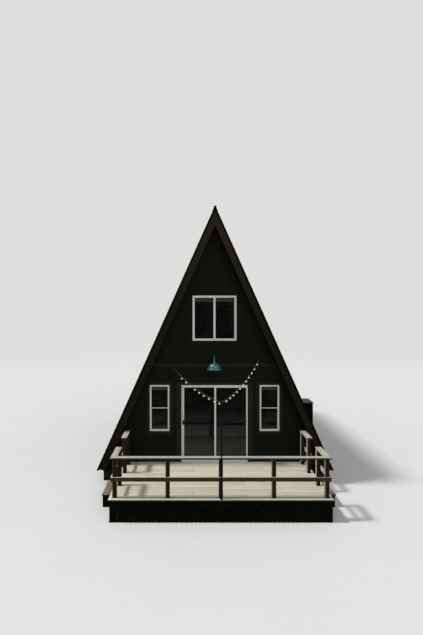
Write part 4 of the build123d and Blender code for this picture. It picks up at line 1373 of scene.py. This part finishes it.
class CABIN_OT_cupboard(bpy.types.Operator):
    """Board the cupboard against the right slope and hang its two doors"""

    bl_idname = "cabin.cupboard"
    bl_label = "Side cupboard"

    def execute(self, context):
        eased("side_cupboard", "cupboard_body", "cupboard")
        eased("side_cupboard_cap", "cupboard_cap", "cap", 0.004)
        low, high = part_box("side_cupboard")
        board_cupboard(low, high)
        hang_cupboard_doors(low, high)
        return {"FINISHED"}


class CABIN_OT_base(bpy.types.Operator):
    """Finish the foundation, the floors and their beams"""

    bl_idname = "cabin.base"
    bl_label = "Foundation and floors"

    def execute(self, context):
        eased("foundation_ends", "foundation_walls_across", "block_x", 0.006)
        eased("foundation_sides", "foundation_walls_deep", "block_y", 0.006)
        eased("floor_joists", "floor_joist_timbers", "under_x", segments=1)
        eased("floor_rims", "floor_rim_joists", "under_y", segments=1)
        eased("loft_beams", "loft_beam_timbers", "lumber_x")
        dress("cabin_floor", "floor")
        dress("loft_floor", "floor")
        return {"FINISHED"}


class CABIN_PT_panel(bpy.types.Panel):
    """Lists the settings and the steps that build the cabin"""

    bl_label = "A-Frame Cabin"
    bl_idname = "CABIN_PT_panel"
    bl_space_type = "VIEW_3D"
    bl_region_type = "UI"
    bl_category = "Cabin"

    def draw(self, context):
        layout = self.layout
        for group in (context.scene.cabin_sizes, context.scene.cabin_colours):
            for name in group.bl_rna.properties.keys():
                if name not in ("rna_type", "name"):
                    layout.prop(group, name)
        for step in steps:
            layout.operator(step.bl_idname)


steps = [
    CABIN_OT_camera, CABIN_OT_stage, CABIN_OT_string_lights, CABIN_OT_siding, CABIN_OT_trim,
    CABIN_OT_roof, CABIN_OT_windows, CABIN_OT_door, CABIN_OT_deck, CABIN_OT_rails, CABIN_OT_lamp,
    CABIN_OT_pole, CABIN_OT_cupboard, CABIN_OT_base,
]
classes = [CabinSizes, CabinColours, *steps, CABIN_PT_panel]


def register():
    """Register the classes and hang the settings on the scene."""
    for each in classes:
        bpy.utils.register_class(each)
    bpy.types.Scene.cabin_sizes = bpy.props.PointerProperty(type=CabinSizes)
    bpy.types.Scene.cabin_colours = bpy.props.PointerProperty(type=CabinColours)


def unregister():
    """Take the settings and the classes away again."""
    del bpy.types.Scene.cabin_colours
    del bpy.types.Scene.cabin_sizes
    for each in reversed(classes):
        bpy.utils.unregister_class(each)


def main():
    """Build everything in order."""
    register()
    bpy.ops.cabin.camera()
    bpy.ops.cabin.stage()
    bpy.ops.cabin.string_lights()
    bpy.ops.cabin.siding()
    bpy.ops.cabin.trim()
    bpy.ops.cabin.roof()
    bpy.ops.cabin.windows()
    bpy.ops.cabin.door()
    bpy.ops.cabin.deck()
    bpy.ops.cabin.rails()
    bpy.ops.cabin.lamp()
    bpy.ops.cabin.pole()
    bpy.ops.cabin.cupboard()
    bpy.ops.cabin.base()


if __name__ == "__main__":
    main()
